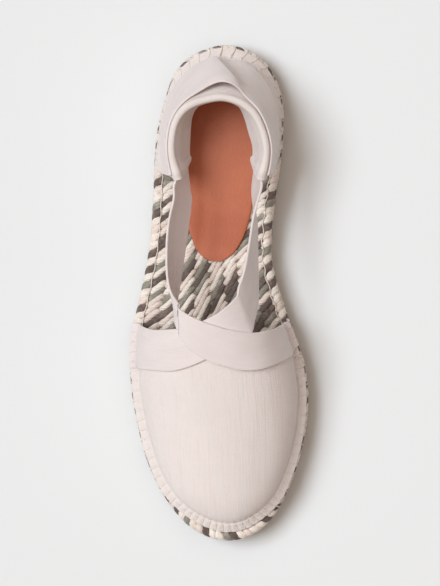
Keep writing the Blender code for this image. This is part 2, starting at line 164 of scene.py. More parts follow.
# The same bands where they run free: lower edge along, across and up, then top edge along, across and up,
# with heights as shares of the crown height
OUTER_STRAP = np.array([
    (0.568, -0.205, 1.00, 0.521, -0.199, 1.005),
    (0.553, -0.221, 0.86, 0.511, -0.219, 0.965),
    (0.534, -0.222, 0.70, 0.497, -0.242, 0.935),
    (0.505, -0.212, 0.57, 0.476, -0.258, 0.910),
    (0.465, -0.196, 0.50, 0.446, -0.266, 0.888),
    (0.417, -0.177, 0.47, 0.402, -0.266, 0.865),
    (0.369, -0.159, 0.46, 0.357, -0.254, 0.860),
    (0.318, -0.142, 0.45, 0.313, -0.228, 0.845),
    (0.292, -0.150, 0.45, 0.287, -0.227, 0.825),
])
INNER_STRAP = np.array([
    (0.555, 0.197, 0.80, 0.490, 0.116, 0.965),
    (0.523, 0.214, 0.63, 0.471, 0.134, 0.935),
    (0.491, 0.217, 0.54, 0.452, 0.148, 0.910),
    (0.453, 0.214, 0.50, 0.427, 0.161, 0.888),
    (0.411, 0.212, 0.47, 0.389, 0.178, 0.865),
    (0.363, 0.209, 0.46, 0.351, 0.194, 0.860),
    (0.318, 0.190, 0.45, 0.313, 0.222, 0.845),
    (0.292, 0.186, 0.45, 0.287, 0.240, 0.825),
])

# Centre lines of the rope's side plies: inset from the sole's edge in millimetres, share of the thickness
UPPER_PLY = np.array([
    (4.9, 0.80), (3.9, 0.875), (2.8, 0.895), (1.9, 0.84), (1.5, 0.73), (1.5, 0.61), (2.3, 0.48),
])
LOWER_PLY = np.array([
    (2.3, 0.58), (1.6, 0.50), (1.4, 0.38), (1.4, 0.26), (1.7, 0.14), (2.6, 0.09),
])

# Soft troughs in the canvas, in millimetres: both ends of the line in plan, the distance over which it
# fades, and its depth, which is below 0 for a ridge
VAMP_TROUGHS = (
    ((22.0, -58.0), (20.0, -100.0), 5.0, 0.45),
    ((11.0, -48.0), (14.0, -88.0), 4.0, 0.25),
    ((-24.0, -50.0), (-16.0, -98.0), 5.0, 0.20),
    ((30.0, -40.0), (33.0, -75.0), 4.0, 0.35),
    ((-2.0, -60.0), (2.0, -104.0), 6.0, -0.18),
)
COUNTER_TROUGHS = (
    ((30.0, 78.0), (31.0, 98.0), 4.0, 0.4),
    ((-29.0, 70.0), (-30.0, 92.0), 4.0, 0.35),
)


def through(rows: Array, places: Array, before: Array | None = None, after: Array | None = None) -> Array:
    """Values on the smooth curve through the rows of a table.

    Args:
        rows: The table.
        places: Places on the curve, counted in rows.
        before: The row that comes before the first one, or None to go on straight.
        after: The row that comes after the last one, or None to go on straight.

    Returns:
        A row of values for each place.
    """
    before = 2 * rows[0] - rows[1] if before is None else before
    after = 2 * rows[-1] - rows[-2] if after is None else after
    padded = np.vstack([before, rows, after])
    places = np.asarray(places, float)
    first = np.clip(np.floor(places).astype(int), 0, len(rows) - 2)
    part = (places - first)[..., None]
    a, b, c, d = (padded[first + shift] for shift in range(4))
    bend = (2 * a - 5 * b + 4 * c - d) * part**2 + (3 * b - a - 3 * c + d) * part**3
    return 0.5 * (2 * b + (c - a) * part + bend)


def ease(value: Array) -> Array:
    """0 below 0, 1 above 1, and a soft step between."""
    value = np.clip(value, 0.0, 1.0)
    return value * value * (3.0 - 2.0 * value)


def unit(vectors: Array) -> Array:
    """The vectors at length 1."""
    return vectors / np.maximum(np.linalg.norm(vectors, axis=-1, keepdims=True), 1e-12)


def hump(distance: Array, width: float) -> Array:
    """1 at distance 0, falling softly over a width on both sides."""
    return np.exp(-((distance / width) ** 2))


def on_line(places: Array, stations: Array, line: Array) -> Array:
    """Points on a line of straight steps, at places counted as its stations are."""
    return np.stack([np.interp(places, stations, line[:, axis]) for axis in range(line.shape[1])], axis=-1)


def path_length(points: Array, axis: int = 0) -> Array:
    """Length run through at each point of a path, or of each path of a grid.

    Args:
        points: Points, with their coordinates on the last axis.
        axis: The axis that the path follows.

    Returns:
        The lengths, starting from 0.
    """
    steps = np.linalg.norm(np.diff(points, axis=axis), axis=-1)
    first = np.zeros_like(np.take(steps, [0], axis=axis))
    return np.cumsum(np.concatenate([first, steps], axis=axis), axis=axis)


def trough(
    plan: Array, start: tuple, end: tuple, width: float, depth: float, end_share: float = 0.1
) -> Array:
    """Displacement of a soft straight trough, or of a ridge where the depth is below 0.

    Args:
        plan: Points in plan, in millimetres.
        start: One end of its line, in millimetres.
        end: The other end.
        width: Distance over which it fades, in millimetres.
        depth: Depth on its line, in millimetres.
        end_share: Share of its half wave that is cut off at each end.

    Returns:
        The displacement at each point, in metres.
    """
    start, end = np.array(start, float), np.array(end, float)
    line = end - start
    share = (plan - start) @ line / (line @ line)
    inside = np.clip(share, 0.0, 1.0)
    away = np.linalg.norm(plan - start - inside[..., None] * line, axis=-1)
    fade = np.sin(np.pi * np.clip(inside * (1 - 2 * end_share) + end_share, 0.0, 1.0))
    return -depth * MM * fade * hump(away, width)


def troughs(plan: Array, rows: tuple) -> Array:
    """Displacement of all troughs of a table, at points in plan in millimetres."""
    return sum(trough(plan, *row) for row in rows)


@dataclass
class Last:
    """The form that all pieces of the shoe follow, with the sizes that the frame gives."""

    length: float
    ball_width: float
    sole_top: float
    rope_foot: float = 0.0033
    crown_height: float = 0.0425
    collar_height: float = 0.0445
    toe_spring: float = 0.0045
    toe_spring_from: float = 0.72
    toe_spring_span: float = 0.28
    heel_spring: float = 0.0012
    heel_spring_span: float = 0.06
    arch_lift: float = 0.0015
    arch_from: float = 0.35
    arch_span: float = 0.18
    side_margin: float = 0.0030
    toe_margin: float = 0.0068
    toe_margin_from: float = 0.90
    toe_margin_span: float = 0.10
    heel_margin: float = 0.0066
    heel_margin_span: float = 0.12
    facing_drop: float = 0.018
    canvas: float = 0.0016
    elastic: float = 0.0011
    fabric_gap: float = 0.0005
    flare: float = 0.0036
    flare_height: float = 0.0065
    hem_spread: float = 0.0009
    counter_edge: float = 0.0022
    ridge_share: float = 0.53
    fullness: float = 2.25
    counter_front: float = 0.270
    side_lean_to: float = 0.85
    back_bulge: float = 1.35
    cut_back: float = 0.0055
    cut_back_rows: float = 1.2
    corner_drop: float = 0.0016
    corner_rows: float = 0.45
    samples: int = 14

    @classmethod
    def from_frame(cls) -> "Last":
        """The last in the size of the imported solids.

        Returns:
            The last.
        """
        low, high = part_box("jute_sole")
        sock_low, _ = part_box("insole")
        return cls(high.y - low.y, high.x - low.x, sock_low.z - GAP)

    @property
    def collar_end(self) -> float:
        """The last place on the collar, counted in rows of its table."""
        return len(COLLAR) - 1.0

    def y_of(self, along: Array) -> Array:
        """The Y coordinate of a share of the length."""
        return (0.5 - along) * self.length

    def along_of(self, y: Array) -> Array:
        """The share of the length at a Y coordinate."""
        return 0.5 - y / self.length

    def spring(self, along: Array) -> Array:
        """Lift of the whole sole at the toe and the heel end.

        Args:
            along: Shares of the length.

        Returns:
            The lift at each of them.
        """
        toe = np.clip((along - self.toe_spring_from) / self.toe_spring_span, 0.0, None)
        heel = np.clip((self.heel_spring_span - along) / self.heel_spring_span, 0.0, None)
        return self.toe_spring * toe**2 + self.heel_spring * heel**2

    def underside(self, along: Array) -> Array:
        """Height of the lower face of the rubber, which lifts at the waist."""
        share = np.clip((along - self.arch_from) / self.arch_span, 0.0, 1.0)
        return self.spring(along) + self.arch_lift * np.sin(np.pi * share) ** 2

    def in_rope(self, along: Array, share: Array) -> Array:
        """Height inside the rope, from its lower face (share 0) to its upper one (share 1)."""
        low = self.underside(along) + self.rope_foot
        return low + (self.sole_top + self.spring(along) - low) * share

    def base(self, along: Array) -> Array:
        """Height at which everything on top of the rope stands."""
        return self.sole_top + GAP + self.spring(along)

    def margin(self, along: Array) -> Array:
        """Distance of the upper's inner face from the sole's edge.

        Args:
            along: Shares of the length.

        Returns:
            The distance at each of them.
        """
        at_toe = ease((along - self.toe_margin_from) / self.toe_margin_span)
        at_heel = ease((self.heel_margin_span - along) / self.heel_margin_span)
        toe = (self.toe_margin - self.side_margin) * at_toe
        heel = (self.heel_margin - self.side_margin) * at_heel
        return self.side_margin + toe + heel

    def outline(self, rows: Array, steps: int, inset: Callable[[Array], Array] | float) -> list[Array]:
        """The two sides of an outline, moved in from the edge.

        Args:
            rows: The outline's table.
            steps: Steps between two rows.
            inset: How far the points move in, as a distance or a function of the share of the length.

        Returns:
            Lateral and medial points in plan, from heel to toe.
        """
        places = np.linspace(0, len(rows) - 1, (len(rows) - 1) * steps + 1)
        swap = [0, 2, 1]
        along, lateral, medial = through(rows, places, rows[1][swap], rows[-2][swap]).T
        depth = inset(along) if callable(inset) else inset
        sides = []
        for across, sign in ((lateral, -1.0), (medial, 1.0)):
            points = np.stack([across * self.ball_width, self.y_of(along)], axis=1)
            tangent = np.gradient(points, axis=0)
            tangent[0] = (sign, 0.0)
            tangent[-1] = (-sign, 0.0)
            normal = unit(np.stack([-tangent[:, 1], tangent[:, 0]], axis=1) * sign)
            sides.append(points - normal * np.reshape(depth, (-1, 1)))
        return sides

    def ring(self, rows: Array, steps: int, inset: float) -> Array:
        """An outline as one closed ring in plan, from the heel along the lateral side and back."""
        lateral, medial = self.outline(rows, steps, inset)
        return np.vstack([lateral, medial[-2:0:-1]])

    @cached_property
    def feather_line(self) -> list[Array]:
        """The inner foot of the upper, lateral and medial."""
        return self.outline(OUTLINE, self.samples, self.margin)

    @cached_property
    def dome_line(self) -> list[Array]:
        """The same line drawn in by the flare of the hem."""
        return self.outline(OUTLINE, self.samples, lambda along: self.margin(along) + self.flare)

    @cached_property
    def crown_line(self) -> tuple[Array, Array]:
        """The vamp's crown in its middle plane.

        Returns:
            Y coordinates and rises, from the toe back.
        """
        places = np.linspace(0, len(CROWN) - 1, (len(CROWN) - 1) * self.samples + 1)
        curve = through(CROWN, places, before=CROWN[1] * (1.0, -1.0))
        return self.dome_line[0][-1][1] + curve[:, 0] * self.length, curve[:, 1] * self.crown_height

    def vamp_frame(self, along: Array) -> tuple[Array, Array, Array, Array, list[Array]]:
        """Section of the vamp at a share of the length.

        Args:
            along: Shares of the length.

        Returns:
            Ridge position, lateral reach, medial reach, rise, and the outward direction of both sides.
        """
        y = self.y_of(along)
        edges = []
        outwards = []
        for dome, foot in zip(self.dome_line, self.feather_line):
            edges.append(np.interp(-y, -dome[:, 1], dome[:, 0]))
            outwards.append(on_line(-y, -dome[:, 1], (foot - dome) / self.flare))
        lateral, medial = edges
        ridge = lateral + (medial - lateral) * self.ridge_share
        crown_y, crown_z = self.crown_line
        return ridge, ridge - lateral, medial - ridge, np.interp(y, crown_y, crown_z), outwards

    def vamp_point(self, along: Array, turn: Array) -> Array:
        """Inner face of the vamp.

        Args:
            along: Shares of the length.
            turn: From -1 at the lateral foot over the crown to 1 at the medial foot.

        Returns:
            Points in space.
        """
        along, turn = np.broadcast_arrays(along, turn)
        ridge, outer, inner, rise, (to_lateral, to_medial) = self.vamp_frame(along)
        angle = turn * np.pi / 2
        power = 2.0 / self.fullness
        reach = np.where(turn < 0, outer, inner)
        x = ridge + np.sign(turn) * reach * np.abs(np.sin(angle)) ** power
        lift = rise * np.clip(np.cos(angle), 0.0, 1.0) ** power
        medial_share = (turn[..., None] + 1.0) / 2.0
        outward = to_lateral * (1.0 - medial_share) + to_medial * medial_share
        flare = (self.flare + self.hem_spread) * np.clip(1.0 - lift / self.flare_height, 0.0, 1.0) ** 2
        plan = np.stack([x, self.y_of(along)], axis=-1) + outward * flare[..., None]
        base = self.base(along + 2 * self.canvas / self.length)
        return np.concatenate([plan, (base + lift)[..., None]], axis=-1)

    def turn_of(self, along: Array, x: Array) -> Array:
        """The turn on the vamp over a place in plan.

        Args:
            along: Shares of the length.
            x: X coordinates.

        Returns:
            The turns, from -1 at the lateral foot to 1 at the medial one.
        """
        ridge, outer, inner, _, _ = self.vamp_frame(along)
        offset = x - ridge
        reach = np.maximum(np.where(offset < 0, outer, inner), 1e-9)
        share = np.clip(np.abs(offset) / reach, 0.0, 1.0)
        return np.sign(offset) * np.arcsin(share ** (self.fullness / 2.0)) * 2 / np.pi

    def off_vamp(self, along: Array, turn: Array, distance: Array) -> Array:
        """Points outside the vamp's inner face.

        Args:
            along: Shares of the length.
            turn: Turns, from -1 at the lateral foot to 1 at the medial one.
            distance: Distances from the inner face.

        Returns:
            Points in space.
        """
        step = 0.004
        forward = self.vamp_point(along + step, turn) - self.vamp_point(along - step, turn)
        left, right = np.clip(turn - step, -1, 1), np.clip(turn + step, -1, 1)
        over = self.vamp_point(along, right) - self.vamp_point(along, left)
        normal = unit(np.cross(forward, over))
        return self.vamp_point(along, turn) + normal * np.asarray(distance)[..., None]

    @cached_property
    def counter_foot(self) -> tuple[Array, Array]:
        """The counter's inner foot line, from the outer front edge round the heel.

        Returns:
            Its points in plan, and the share of its length at each of them.
        """
        lateral, medial = self.feather_line
        front = self.y_of(self.counter_front)
        path = np.vstack([lateral[lateral[:, 1] > front][::-1], medial[medial[:, 1] > front][1:]])
        run = path_length(path)
        return path, run / run[-1]

    def collar_rows(self, place: Array) -> tuple[Array, Array]:
        """The collar at a place.

        Args:
            place: Places counted in collar rows.

        Returns:
            Points of the rim and of the facing's lower edge.
        """
        along, across, up, facing_along, facing_across = np.moveaxis(through(COLLAR, place), -1, 0)
        height = self.sole_top + up * self.collar_height
        rim = np.stack([across * self.ball_width, self.y_of(along), height], axis=-1)
        low = height - self.facing_drop
        facing = np.stack([facing_across * self.ball_width, self.y_of(facing_along), low], axis=-1)
        return rim, facing

    def at_back(self, place: Array) -> Array:
        """1 behind the heel, falling to 0 at the counter's front edges."""
        return np.sin(np.pi * np.clip(place / self.collar_end, 0.0, 1.0)) ** 3

    def at_corner(self, place: Array, reach: float) -> Array:
        """1 at the counter's two front edges, falling to 0 at a reach counted in collar rows."""
        from_front = np.minimum(place, self.collar_end - place)
        return 1.0 - ease(from_front / reach)

    def counter_point(self, place: Array, rise: Array) -> Array:
        """Inner face of the counter's wall.

        Args:
            place: Places counted in collar rows.
            rise: From 0 at the foot to 1 at the rim.

        Returns:
            Points in space.
        """
        path, shares = self.counter_foot
        foot = on_line(place / self.collar_end, shares, path)
        foot_z = self.base(self.along_of(foot[..., 1]))
        rim, _ = self.collar_rows(place)
        back = self.at_back(place)
        at_side = (1 - back) * ease(rise / self.side_lean_to)
        lean = at_side + back * np.clip(rise, 0.0, None) ** self.back_bulge
        x = foot[..., 0] + (rim[..., 0] - foot[..., 0]) * lean
        y = foot[..., 1] + (rim[..., 1] - foot[..., 1]) * lean
        z = foot_z + (rim[..., 2] - foot_z) * rise
        return np.stack([x, y, z], axis=-1)

    def canvas_wall(self, place: Array, rise: Array) -> Array:
        """The counter's wall with the foot spread over the rope and the front edges cut back below.

        Args:
            place: Places counted in collar rows.
            rise: From 0 at the foot to 1 at the rim.

        Returns:
            Points in space.
        """
        place, rise = np.broadcast_arrays(np.asarray(place, float), np.asarray(rise, float))
        points = self.counter_point(place, rise)
        path, shares = self.counter_foot
        share = place / self.collar_end
        tangent = on_line(share, shares, np.gradient(path, axis=0))
        outward = unit(np.stack([-tangent[..., 1], tangent[..., 0]], axis=-1))
        foot_along = self.along_of(np.interp(share, shares, path[:, 1]))
        spread = np.clip(self.margin(foot_along) - self.counter_edge, 0.0, None)
        height = points[..., 2] - self.base(foot_along)
        spread = spread * np.clip(1.0 - height / self.flare_height, 0.0, 1.0) ** 2
        points[..., :2] += outward * spread[..., None]
        back = self.at_corner(place, self.cut_back_rows) * np.clip(1.0 - rise, 0.0, 1.0)
        down = self.at_corner(place, self.corner_rows) * np.clip(rise, 0.0, 1.0) ** 4
        points[..., 1] += self.cut_back * back
        points[..., 2] -= self.corner_drop * down
        return points

    def facing_point(self, place: Array, drop: Array) -> Array:
        """Hidden face of the turned-in facing.

        Args:
            place: Places counted in collar rows.
            drop: From 0 at the fold to 1 at its lower edge.

        Returns:
            Points in space.
        """
        rim, edge = self.collar_rows(place)
        centre = np.array([0.0, self.y_of(self.counter_front), 0.0])
        inward = unit((centre - rim) * (1.0, 1.0, 0.0))
        fold = rim + inward * self.canvas
        return fold + (edge - fold) * np.asarray(drop)[..., None]

    def off_collar(self, surface: Callable, place: Array, share: Array, distance: Array) -> Array:
        """Points outside the counter's inner face, or on the foot side of its facing.

        Args:
            surface: The method that gives the face.
            place: Places counted in collar rows.
            share: Rises on the wall, or drops on the facing.
            distance: Distances from the face.

        Returns:
            Points in space.
        """
        step = 0.02
        round_heel = surface(place + step, share) - surface(place - step, share)
        up_or_down = surface(place, share + step) - surface(place, share - step)
        normal = unit(np.cross(up_or_down, round_heel))
        return surface(place, share) + normal * np.asarray(distance)[..., None]


@dataclass
class SolidMesh:
    """Collects points, faces and texture places, and makes one object of them."""

    weld_distance: float = 1e-7
    points: list[Array] = field(default_factory=list)
    faces: list[Array] = field(default_factory=list)
    places: list[Array] = field(default_factory=list)
    shades: list[Array] = field(default_factory=list)
    size: int = 0

    def add(self, points: Array, faces: Array, places: Array, shades: Array | int = 0) -> None:
        """Adds points and faces.

        Args:
            points: Points in space.
            faces: Faces of one size, counted from the first of these points.
            places: Texture place of each corner of each face, in metres.
            shades: Number of the material of each face.
        """
        self.points.append(points.reshape(-1, 3))
        self.close(faces + self.size, places, shades)
        self.size += len(self.points[-1])

    def close(self, faces: Array, places: Array, shades: Array | int = 0) -> None:
        """Adds faces between points that are there already.

        Args:
            faces: Faces of one size, counted from the first point of all.
            places: Texture place of each corner of each face, in metres.
            shades: Number of the material of each face.
        """
        self.faces.append(faces)
        self.places.append(places.reshape(-1, 2))
        self.shades.append(np.broadcast_to(shades, (len(faces),)))

    def loft(self, rings: list[Array], closed: tuple[int, ...]) -> None:
        """Adds a skin through closed rings, some of them closed by strips from side to side.

        Args:
            rings: Rings of equally many points, each from the heel along the lateral side and back.
            closed: Numbers of the rings that are closed.
        """
        points = np.vstack(rings)
        size = len(rings[0])
        half = size // 2
        index = np.arange(size)
        inner = np.arange(1, half - 1)
        quads = []
        for level in range(len(rings) - 1):
            near, far = level * size + index, level * size + (index + 1) % size
            quads.append(np.stack([near, far, far + size, near + size], axis=1))
        for level in closed:
            quads.append(level * size + np.stack([inner, inner + 1, size - inner - 1, size - inner], axis=1))
        quads = np.vstack(quads)
        self.add(points, quads, points[quads][..., :2])
        ends = np.array([(0, 1, size - 1), (half, half + 1, half - 1)])
        ends = np.vstack([level * size + ends for level in closed])
        self.close(ends, points[ends][..., :2])

    def build(self, name: str, weld: bool = False) -> bpy.types.Object:
        """Makes the object.

        Args:
            name: Its name.
            weld: Whether points in one place become one.

        Returns:
            The object, smooth and with its faces pointing out.
        """
        mesh = bpy.data.meshes.new(name)
        faces = [face for group in self.faces for face in group.tolist()]
        mesh.from_pydata(np.concatenate(self.points).tolist(), [], faces)
        layer = mesh.uv_layers.new(name="cloth")
        layer.data.foreach_set("uv", np.concatenate(self.places).astype(np.float32).ravel())
        mesh.polygons.foreach_set("material_index", np.concatenate(self.shades).astype(np.int32))
        work = bmesh.new()
        work.from_mesh(mesh)
        if weld:
            bmesh.ops.remove_doubles(work, verts=work.verts, dist=self.weld_distance)
            bmesh.ops.dissolve_degenerate(work, edges=work.edges, dist=self.weld_distance)
        bmesh.ops.recalc_face_normals(work, faces=work.faces)
        work.to_mesh(mesh)
        work.free()
        mesh.shade_smooth()
        piece = bpy.data.objects.new(name, mesh)
        bpy.context.scene.collection.objects.link(piece)
        return piece


@dataclass
class Sheet:
    """A closed sheet of even thickness with round edges, on a grid of points of its inner face."""

    grid: Array
    thickness: float
    relief: Array | float = 0.0
    sway: Array | float = 0.0
    folded_start: bool = False
    texture: Array | None = None
    edge_steps: int = 3
    edge_reach: float = 0.4

    def normals(self, grid: Array) -> Array:
        """Directions out of a grid's face, also where its first row is folded on itself.

        Args:
            grid: Points, from the first row on.

        Returns:
            The direction at each point.
        """
        down = np.gradient(grid, axis=0)
        over = np.gradient(grid, axis=1)
        if self.folded_start:
            down[0] = (grid[1] - grid[1][::-1]) / 2
        normal = unit(np.cross(over, down))
        if self.folded_start:
            middle = grid.shape[1] // 2
            near = normal[1, middle - 2:middle + 3].sum(axis=0)
            normal[0, middle - 1:middle + 2] = unit(near)
        return normal

    def rounded(self, grid: Array, half: Array, ends: tuple[bool, bool]) -> tuple[Array, Array]:
        """Adds rows that round off the first and the last row.

        Args:
            grid: Points, with the direction to extend on the first axis.
            half: Share of the thickness at each point.
            ends: Whether the first and the last row are rounded.

        Returns:
            The longer grid and its shares of the thickness.
        """
        angle = np.linspace(0, np.pi / 2, self.edge_steps + 1)[1:]
        reach = np.sin(angle)[:, None, None] * self.thickness * self.edge_reach
        thin = np.cos(angle)[:, None]
        if ends[0]:
            new = grid[0] + unit(grid[0] - grid[1]) * reach
            grid = np.concatenate([new[::-1], grid])
            half = np.concatenate([(half[0] * thin)[::-1], half])
        if ends[1]:
            new = grid[-1] + unit(grid[-1] - grid[-2]) * reach
            grid = np.concatenate([grid, new])
            half = np.concatenate([half, half[-1] * thin])
        return grid, half

    def build(self, name: str) -> bpy.types.Object:
        """Makes the sheet, whose relief raises only its outer face and whose sway moves both.

        Args:
            name: Its name.

        Returns:
            The sheet.
        """
        rows, columns, _ = self.grid.shape
        grid, half = self.rounded(self.grid, np.ones((rows, columns)), (not self.folded_start, True))
        grid, half = self.rounded(grid.swapaxes(0, 1), half.T, (True, True))
        grid, half = grid.swapaxes(0, 1), half.T
        rows_before = 0 if self.folded_start else self.edge_steps
        pad = ((rows_before, self.edge_steps), (self.edge_steps, self.edge_steps))
        relief = np.pad(np.broadcast_to(self.relief, (rows, columns)), pad, mode="edge")
        sway = np.pad(np.broadcast_to(self.sway, (rows, columns)), pad, mode="edge")
        normal = self.normals(grid)
        middle = grid + normal * (self.thickness / 2 + sway)[..., None]
        outer = middle + normal * (half * (self.thickness / 2 + relief))[..., None]
        inner = middle - normal * (half * self.thickness / 2)[..., None]
        if self.texture is None:
            u = path_length(middle, axis=0)
            v = path_length(middle, axis=1)
            texture = np.stack([np.broadcast_to(u.mean(axis=1)[:, None], v.shape), v], axis=-1)
        else:
            texture = np.pad(self.texture, (*pad, (0, 0)), mode="edge")
        maker = SolidMesh()
        index = np.arange(grid.shape[0] * grid.shape[1]).reshape(grid.shape[:2])
        corners = (index[:-1, :-1], index[:-1, 1:], index[1:, 1:], index[1:, :-1])
        quads = np.stack(corners, axis=-1).reshape(-1, 4)
        flat = texture.reshape(-1, 2)
        maker.add(outer, quads, flat[quads])
        maker.add(inner, quads[:, ::-1], flat[quads[:, ::-1]])
        return maker.build(name, weld=True)


@dataclass
class Rods:
    """Many rounded rods in one mesh, each along a path of its own."""

    paths: Array
    normals: Array
    half_width: Array
    half_height: Array
    shades: Array | int = 0
    sides: int = 8
    texture_shift: float = 0.0137

    def build(self, name: str) -> bpy.types.Object:
        """Makes the rods, closed at both ends, with the length and the girth as texture places.

        Args:
            name: Their name.

        Returns:
            The rods.
        """
        maker = SolidMesh()
        count, stations, _ = self.paths.shape
        tangent = unit(np.gradient(self.paths, axis=1))
        side = unit(np.cross(tangent, self.normals))
        upright = unit(np.cross(side, tangent))
        turn = np.arange(self.sides) / self.sides * 2 * np.pi
        wide = np.broadcast_to(self.half_width, (count, stations))[..., None, None]
        high = np.broadcast_to(self.half_height, (count, stations))[..., None, None]
        over = side[:, :, None] * wide * np.cos(turn)[:, None]
        up = upright[:, :, None] * high * np.sin(turn)[:, None]
        points = self.paths[:, :, None] + (over + up)
        run = path_length(self.paths, axis=1)
        girth = 2 * np.pi * float(np.max(high))
        counts = (range(count), range(stations - 1), range(self.sides))
        rod, station, corner = np.meshgrid(*counts, indexing="ij")
        near = (rod * stations + station) * self.sides
        far = near + self.sides
        after = (corner + 1) % self.sides
        quads = np.stack([near + corner, near + after, far + after, far + corner], axis=-1)
        shift = rod * self.texture_shift
        start, end = run[rod, station] + shift, run[rod, station + 1] + shift
        low, top = corner / self.sides * girth, (corner + 1) / self.sides * girth
        pairs = ((start, low), (start, top), (end, top), (end, low))
        places = np.stack([np.stack(pair, axis=-1) for pair in pairs], axis=-2)
        shades = np.broadcast_to(self.shades, (count,))
        maker.add(points, quads.reshape(-1, 4), places, np.repeat(shades, (stations - 1) * self.sides))
        first = np.arange(count)[:, None] * stations * self.sides
        for cap, order in ((0, -1), (stations - 1, 1)):
            ring = first + cap * self.sides + np.arange(self.sides)[::order]
            maker.close(ring, np.zeros((count * self.sides, 2)), shades)
        return maker.build(name)


@dataclass(frozen=True)
class Signal:
    """An output socket of a material's nodes, which takes part in Python arithmetic."""

    board: "Board"
    socket: bpy.types.NodeSocket

    def joined(self, operation: str, first: Value, second: Value) -> "Signal":
        """The result of an operation on two values, in the kind of node that keeps this signal's type.

        Args:
            operation: Name of the operation, as a Math node has it.
            first: The first value.
            second: The second value.

        Returns:
            The result.
        """
        if self.socket.type == "RGBA":
            return self.board.mix(operation, 1.0, first, second)
        kind = "ShaderNodeVectorMath" if self.socket.type == "VECTOR" else "ShaderNodeMath"
        return self.board.node(kind, {"operation": operation}, {0: first, 1: second})

    def __add__(self, other: Value) -> "Signal":
        """The sum."""
        return self.joined("ADD", self, other)

    __radd__ = __add__

    def __mul__(self, other: Value) -> "Signal":
        """The product."""
        return self.joined("MULTIPLY", self, other)

    __rmul__ = __mul__

    def __truediv__(self, other: Value) -> "Signal":
        """The quotient."""
        return self.joined("DIVIDE", self, other)

    def __rtruediv__(self, other: Value) -> "Signal":
        """The quotient of the other value by this one."""
        return self.joined("DIVIDE", other, self)

    def wave(self, pitch: float) -> "Signal":
        """A sine wave of this value, with a length of one pitch."""
        return self.board.node("ShaderNodeMath", {"operation": "SINE"}, {0: self * (2 * np.pi / pitch)})

    def step(self, low: float, high: float) -> "Signal":
        """0 below the low value, 1 above the high one, and a soft step between."""
        inputs = {"Value": self, "From Min": low, "From Max": high}
        return self.board.node("ShaderNodeMapRange", {"interpolation_type": "SMOOTHSTEP"}, inputs)

    def choose(self, first: Value, second: Value) -> "Signal":
        """The first colour where this value is 0, the second where it is 1."""
        return self.board.mix("MIX", self, first, second)


@dataclass(frozen=True)
class Grain:
    """Noise over a cloth: length and width of its spots in millimetres, detail, roughness and start."""

    long: float
    wide: float
    detail: float = 2.0
    roughness: float = 0.5
    start: float = 0.0


@dataclass(frozen=True)
class Cloud:
    """Noise in space: spots for each millimetre, detail and roughness."""

    scale: float
    detail: float = 2.0
    roughness: float = 0.5


class Board:
    """The nodes of one material."""

    def __init__(self, name: str) -> None:
        """Starts a material that has only a Principled shader.

        Args:
            name: The material's name.
        """
        self.material = bpy.data.materials.new(name)
        self.material.use_nodes = True
        self.tree = self.material.node_tree
        self.shader = self.tree.nodes["Principled BSDF"]

    def node(self, kind: str, settings: dict, inputs: dict, output: int = 0) -> Signal:
        """Adds a node.

        Args:
            kind: The node's type.
            settings: Its own settings by name.
            inputs: Values or signals of its sockets, by name or number.
            output: Number of the output that is wanted.

        Returns:
            The output.
        """
        made = self.tree.nodes.new(kind)
        for name, value in settings.items():
            setattr(made, name, value)
        for key, value in inputs.items():
            self.feed(made.inputs[key], value)
        return Signal(self, made.outputs[output])

    def mix(self, blend: str, factor: Value, first: Value, second: Value) -> Signal:
        """Two colours blended in one of the Mix node's ways."""
        settings = {"data_type": "RGBA", "blend_type": blend}
        return self.node("ShaderNodeMix", settings, {0: factor, 6: first, 7: second}, output=2)

    def feed(self, socket: bpy.types.NodeSocket, value: Value) -> None:
        """Links a signal to a socket, or sets its value.

        Args:
            socket: The socket.
            value: A signal, a number, a vector or a colour.
        """
        if isinstance(value, Signal):
            self.tree.links.new(value.socket, socket)
        elif isinstance(value, tuple) and socket.type == "RGBA":
            socket.default_value = (*value[:3], 1.0)
        else:
            socket.default_value = value

    def finish(self, bump: Signal | None = None, depth: float = MM, **sockets: Value) -> bpy.types.Material:
        """Sets the shader's sockets.

        Args:
            bump: Height of the surface, from 0 to 1.
            depth: Height that 1 stands for, in metres.
            **sockets: Values of the shader's sockets, with _ for each space.

        Returns:
            The material.
        """
        for name, value in sockets.items():
            self.feed(self.shader.inputs[name.replace("_", " ")], value)
        if bump is not None:
            normal = self.node("ShaderNodeBump", {}, {"Height": bump, "Distance": depth, "Strength": 1.0})
            self.feed(self.shader.inputs["Normal"], normal)
        return self.material

    def cloth_places(self) -> tuple[Signal, Signal]:
        """The two texture places of the surface, in millimetres.

        Returns:
            The place along the cloth and the place across it.
        """
        places = self.node("ShaderNodeUVMap", {"uv_map": "cloth"}, {})
        along = self.node("ShaderNodeSeparateXYZ", {}, {0: places})
        across = Signal(self, along.socket.node.outputs[1])
        return along * (1.0 / MM), across * (1.0 / MM)

    def object_place(self) -> Signal:
        """The place on the object, in millimetres."""
        return self.node("ShaderNodeTexCoord", {}, {}, output=3) * (1.0 / MM, 1.0 / MM, 1.0 / MM)

    def noise(self, place: Signal, scale: float, detail: float, roughness: float) -> Signal:
        """Soft noise from 0 to 1 at a place."""
        inputs = {"Vector": place, "Scale": scale, "Detail": detail, "Roughness": roughness}
        return self.node("ShaderNodeTexNoise", {}, inputs)

    def grain(self, along: Signal, across: Signal, grain: Grain) -> Signal:
        """Noise over the cloth, at places in millimetres."""
        cell = {0: along / grain.long, 1: across / grain.wide, 2: grain.start}
        return self.noise(self.node("ShaderNodeCombineXYZ", {}, cell), 1.0, grain.detail, grain.roughness)

    def cloud(self, place: Signal, cloud: Cloud) -> Signal:
        """Noise in space, at a place in millimetres."""
        return self.noise(place, cloud.scale, cloud.detail, cloud.roughness)


def toned(colour: tuple, share: float) -> tuple:
    """A colour made darker or lighter."""
    return tuple(share * channel for channel in colour)


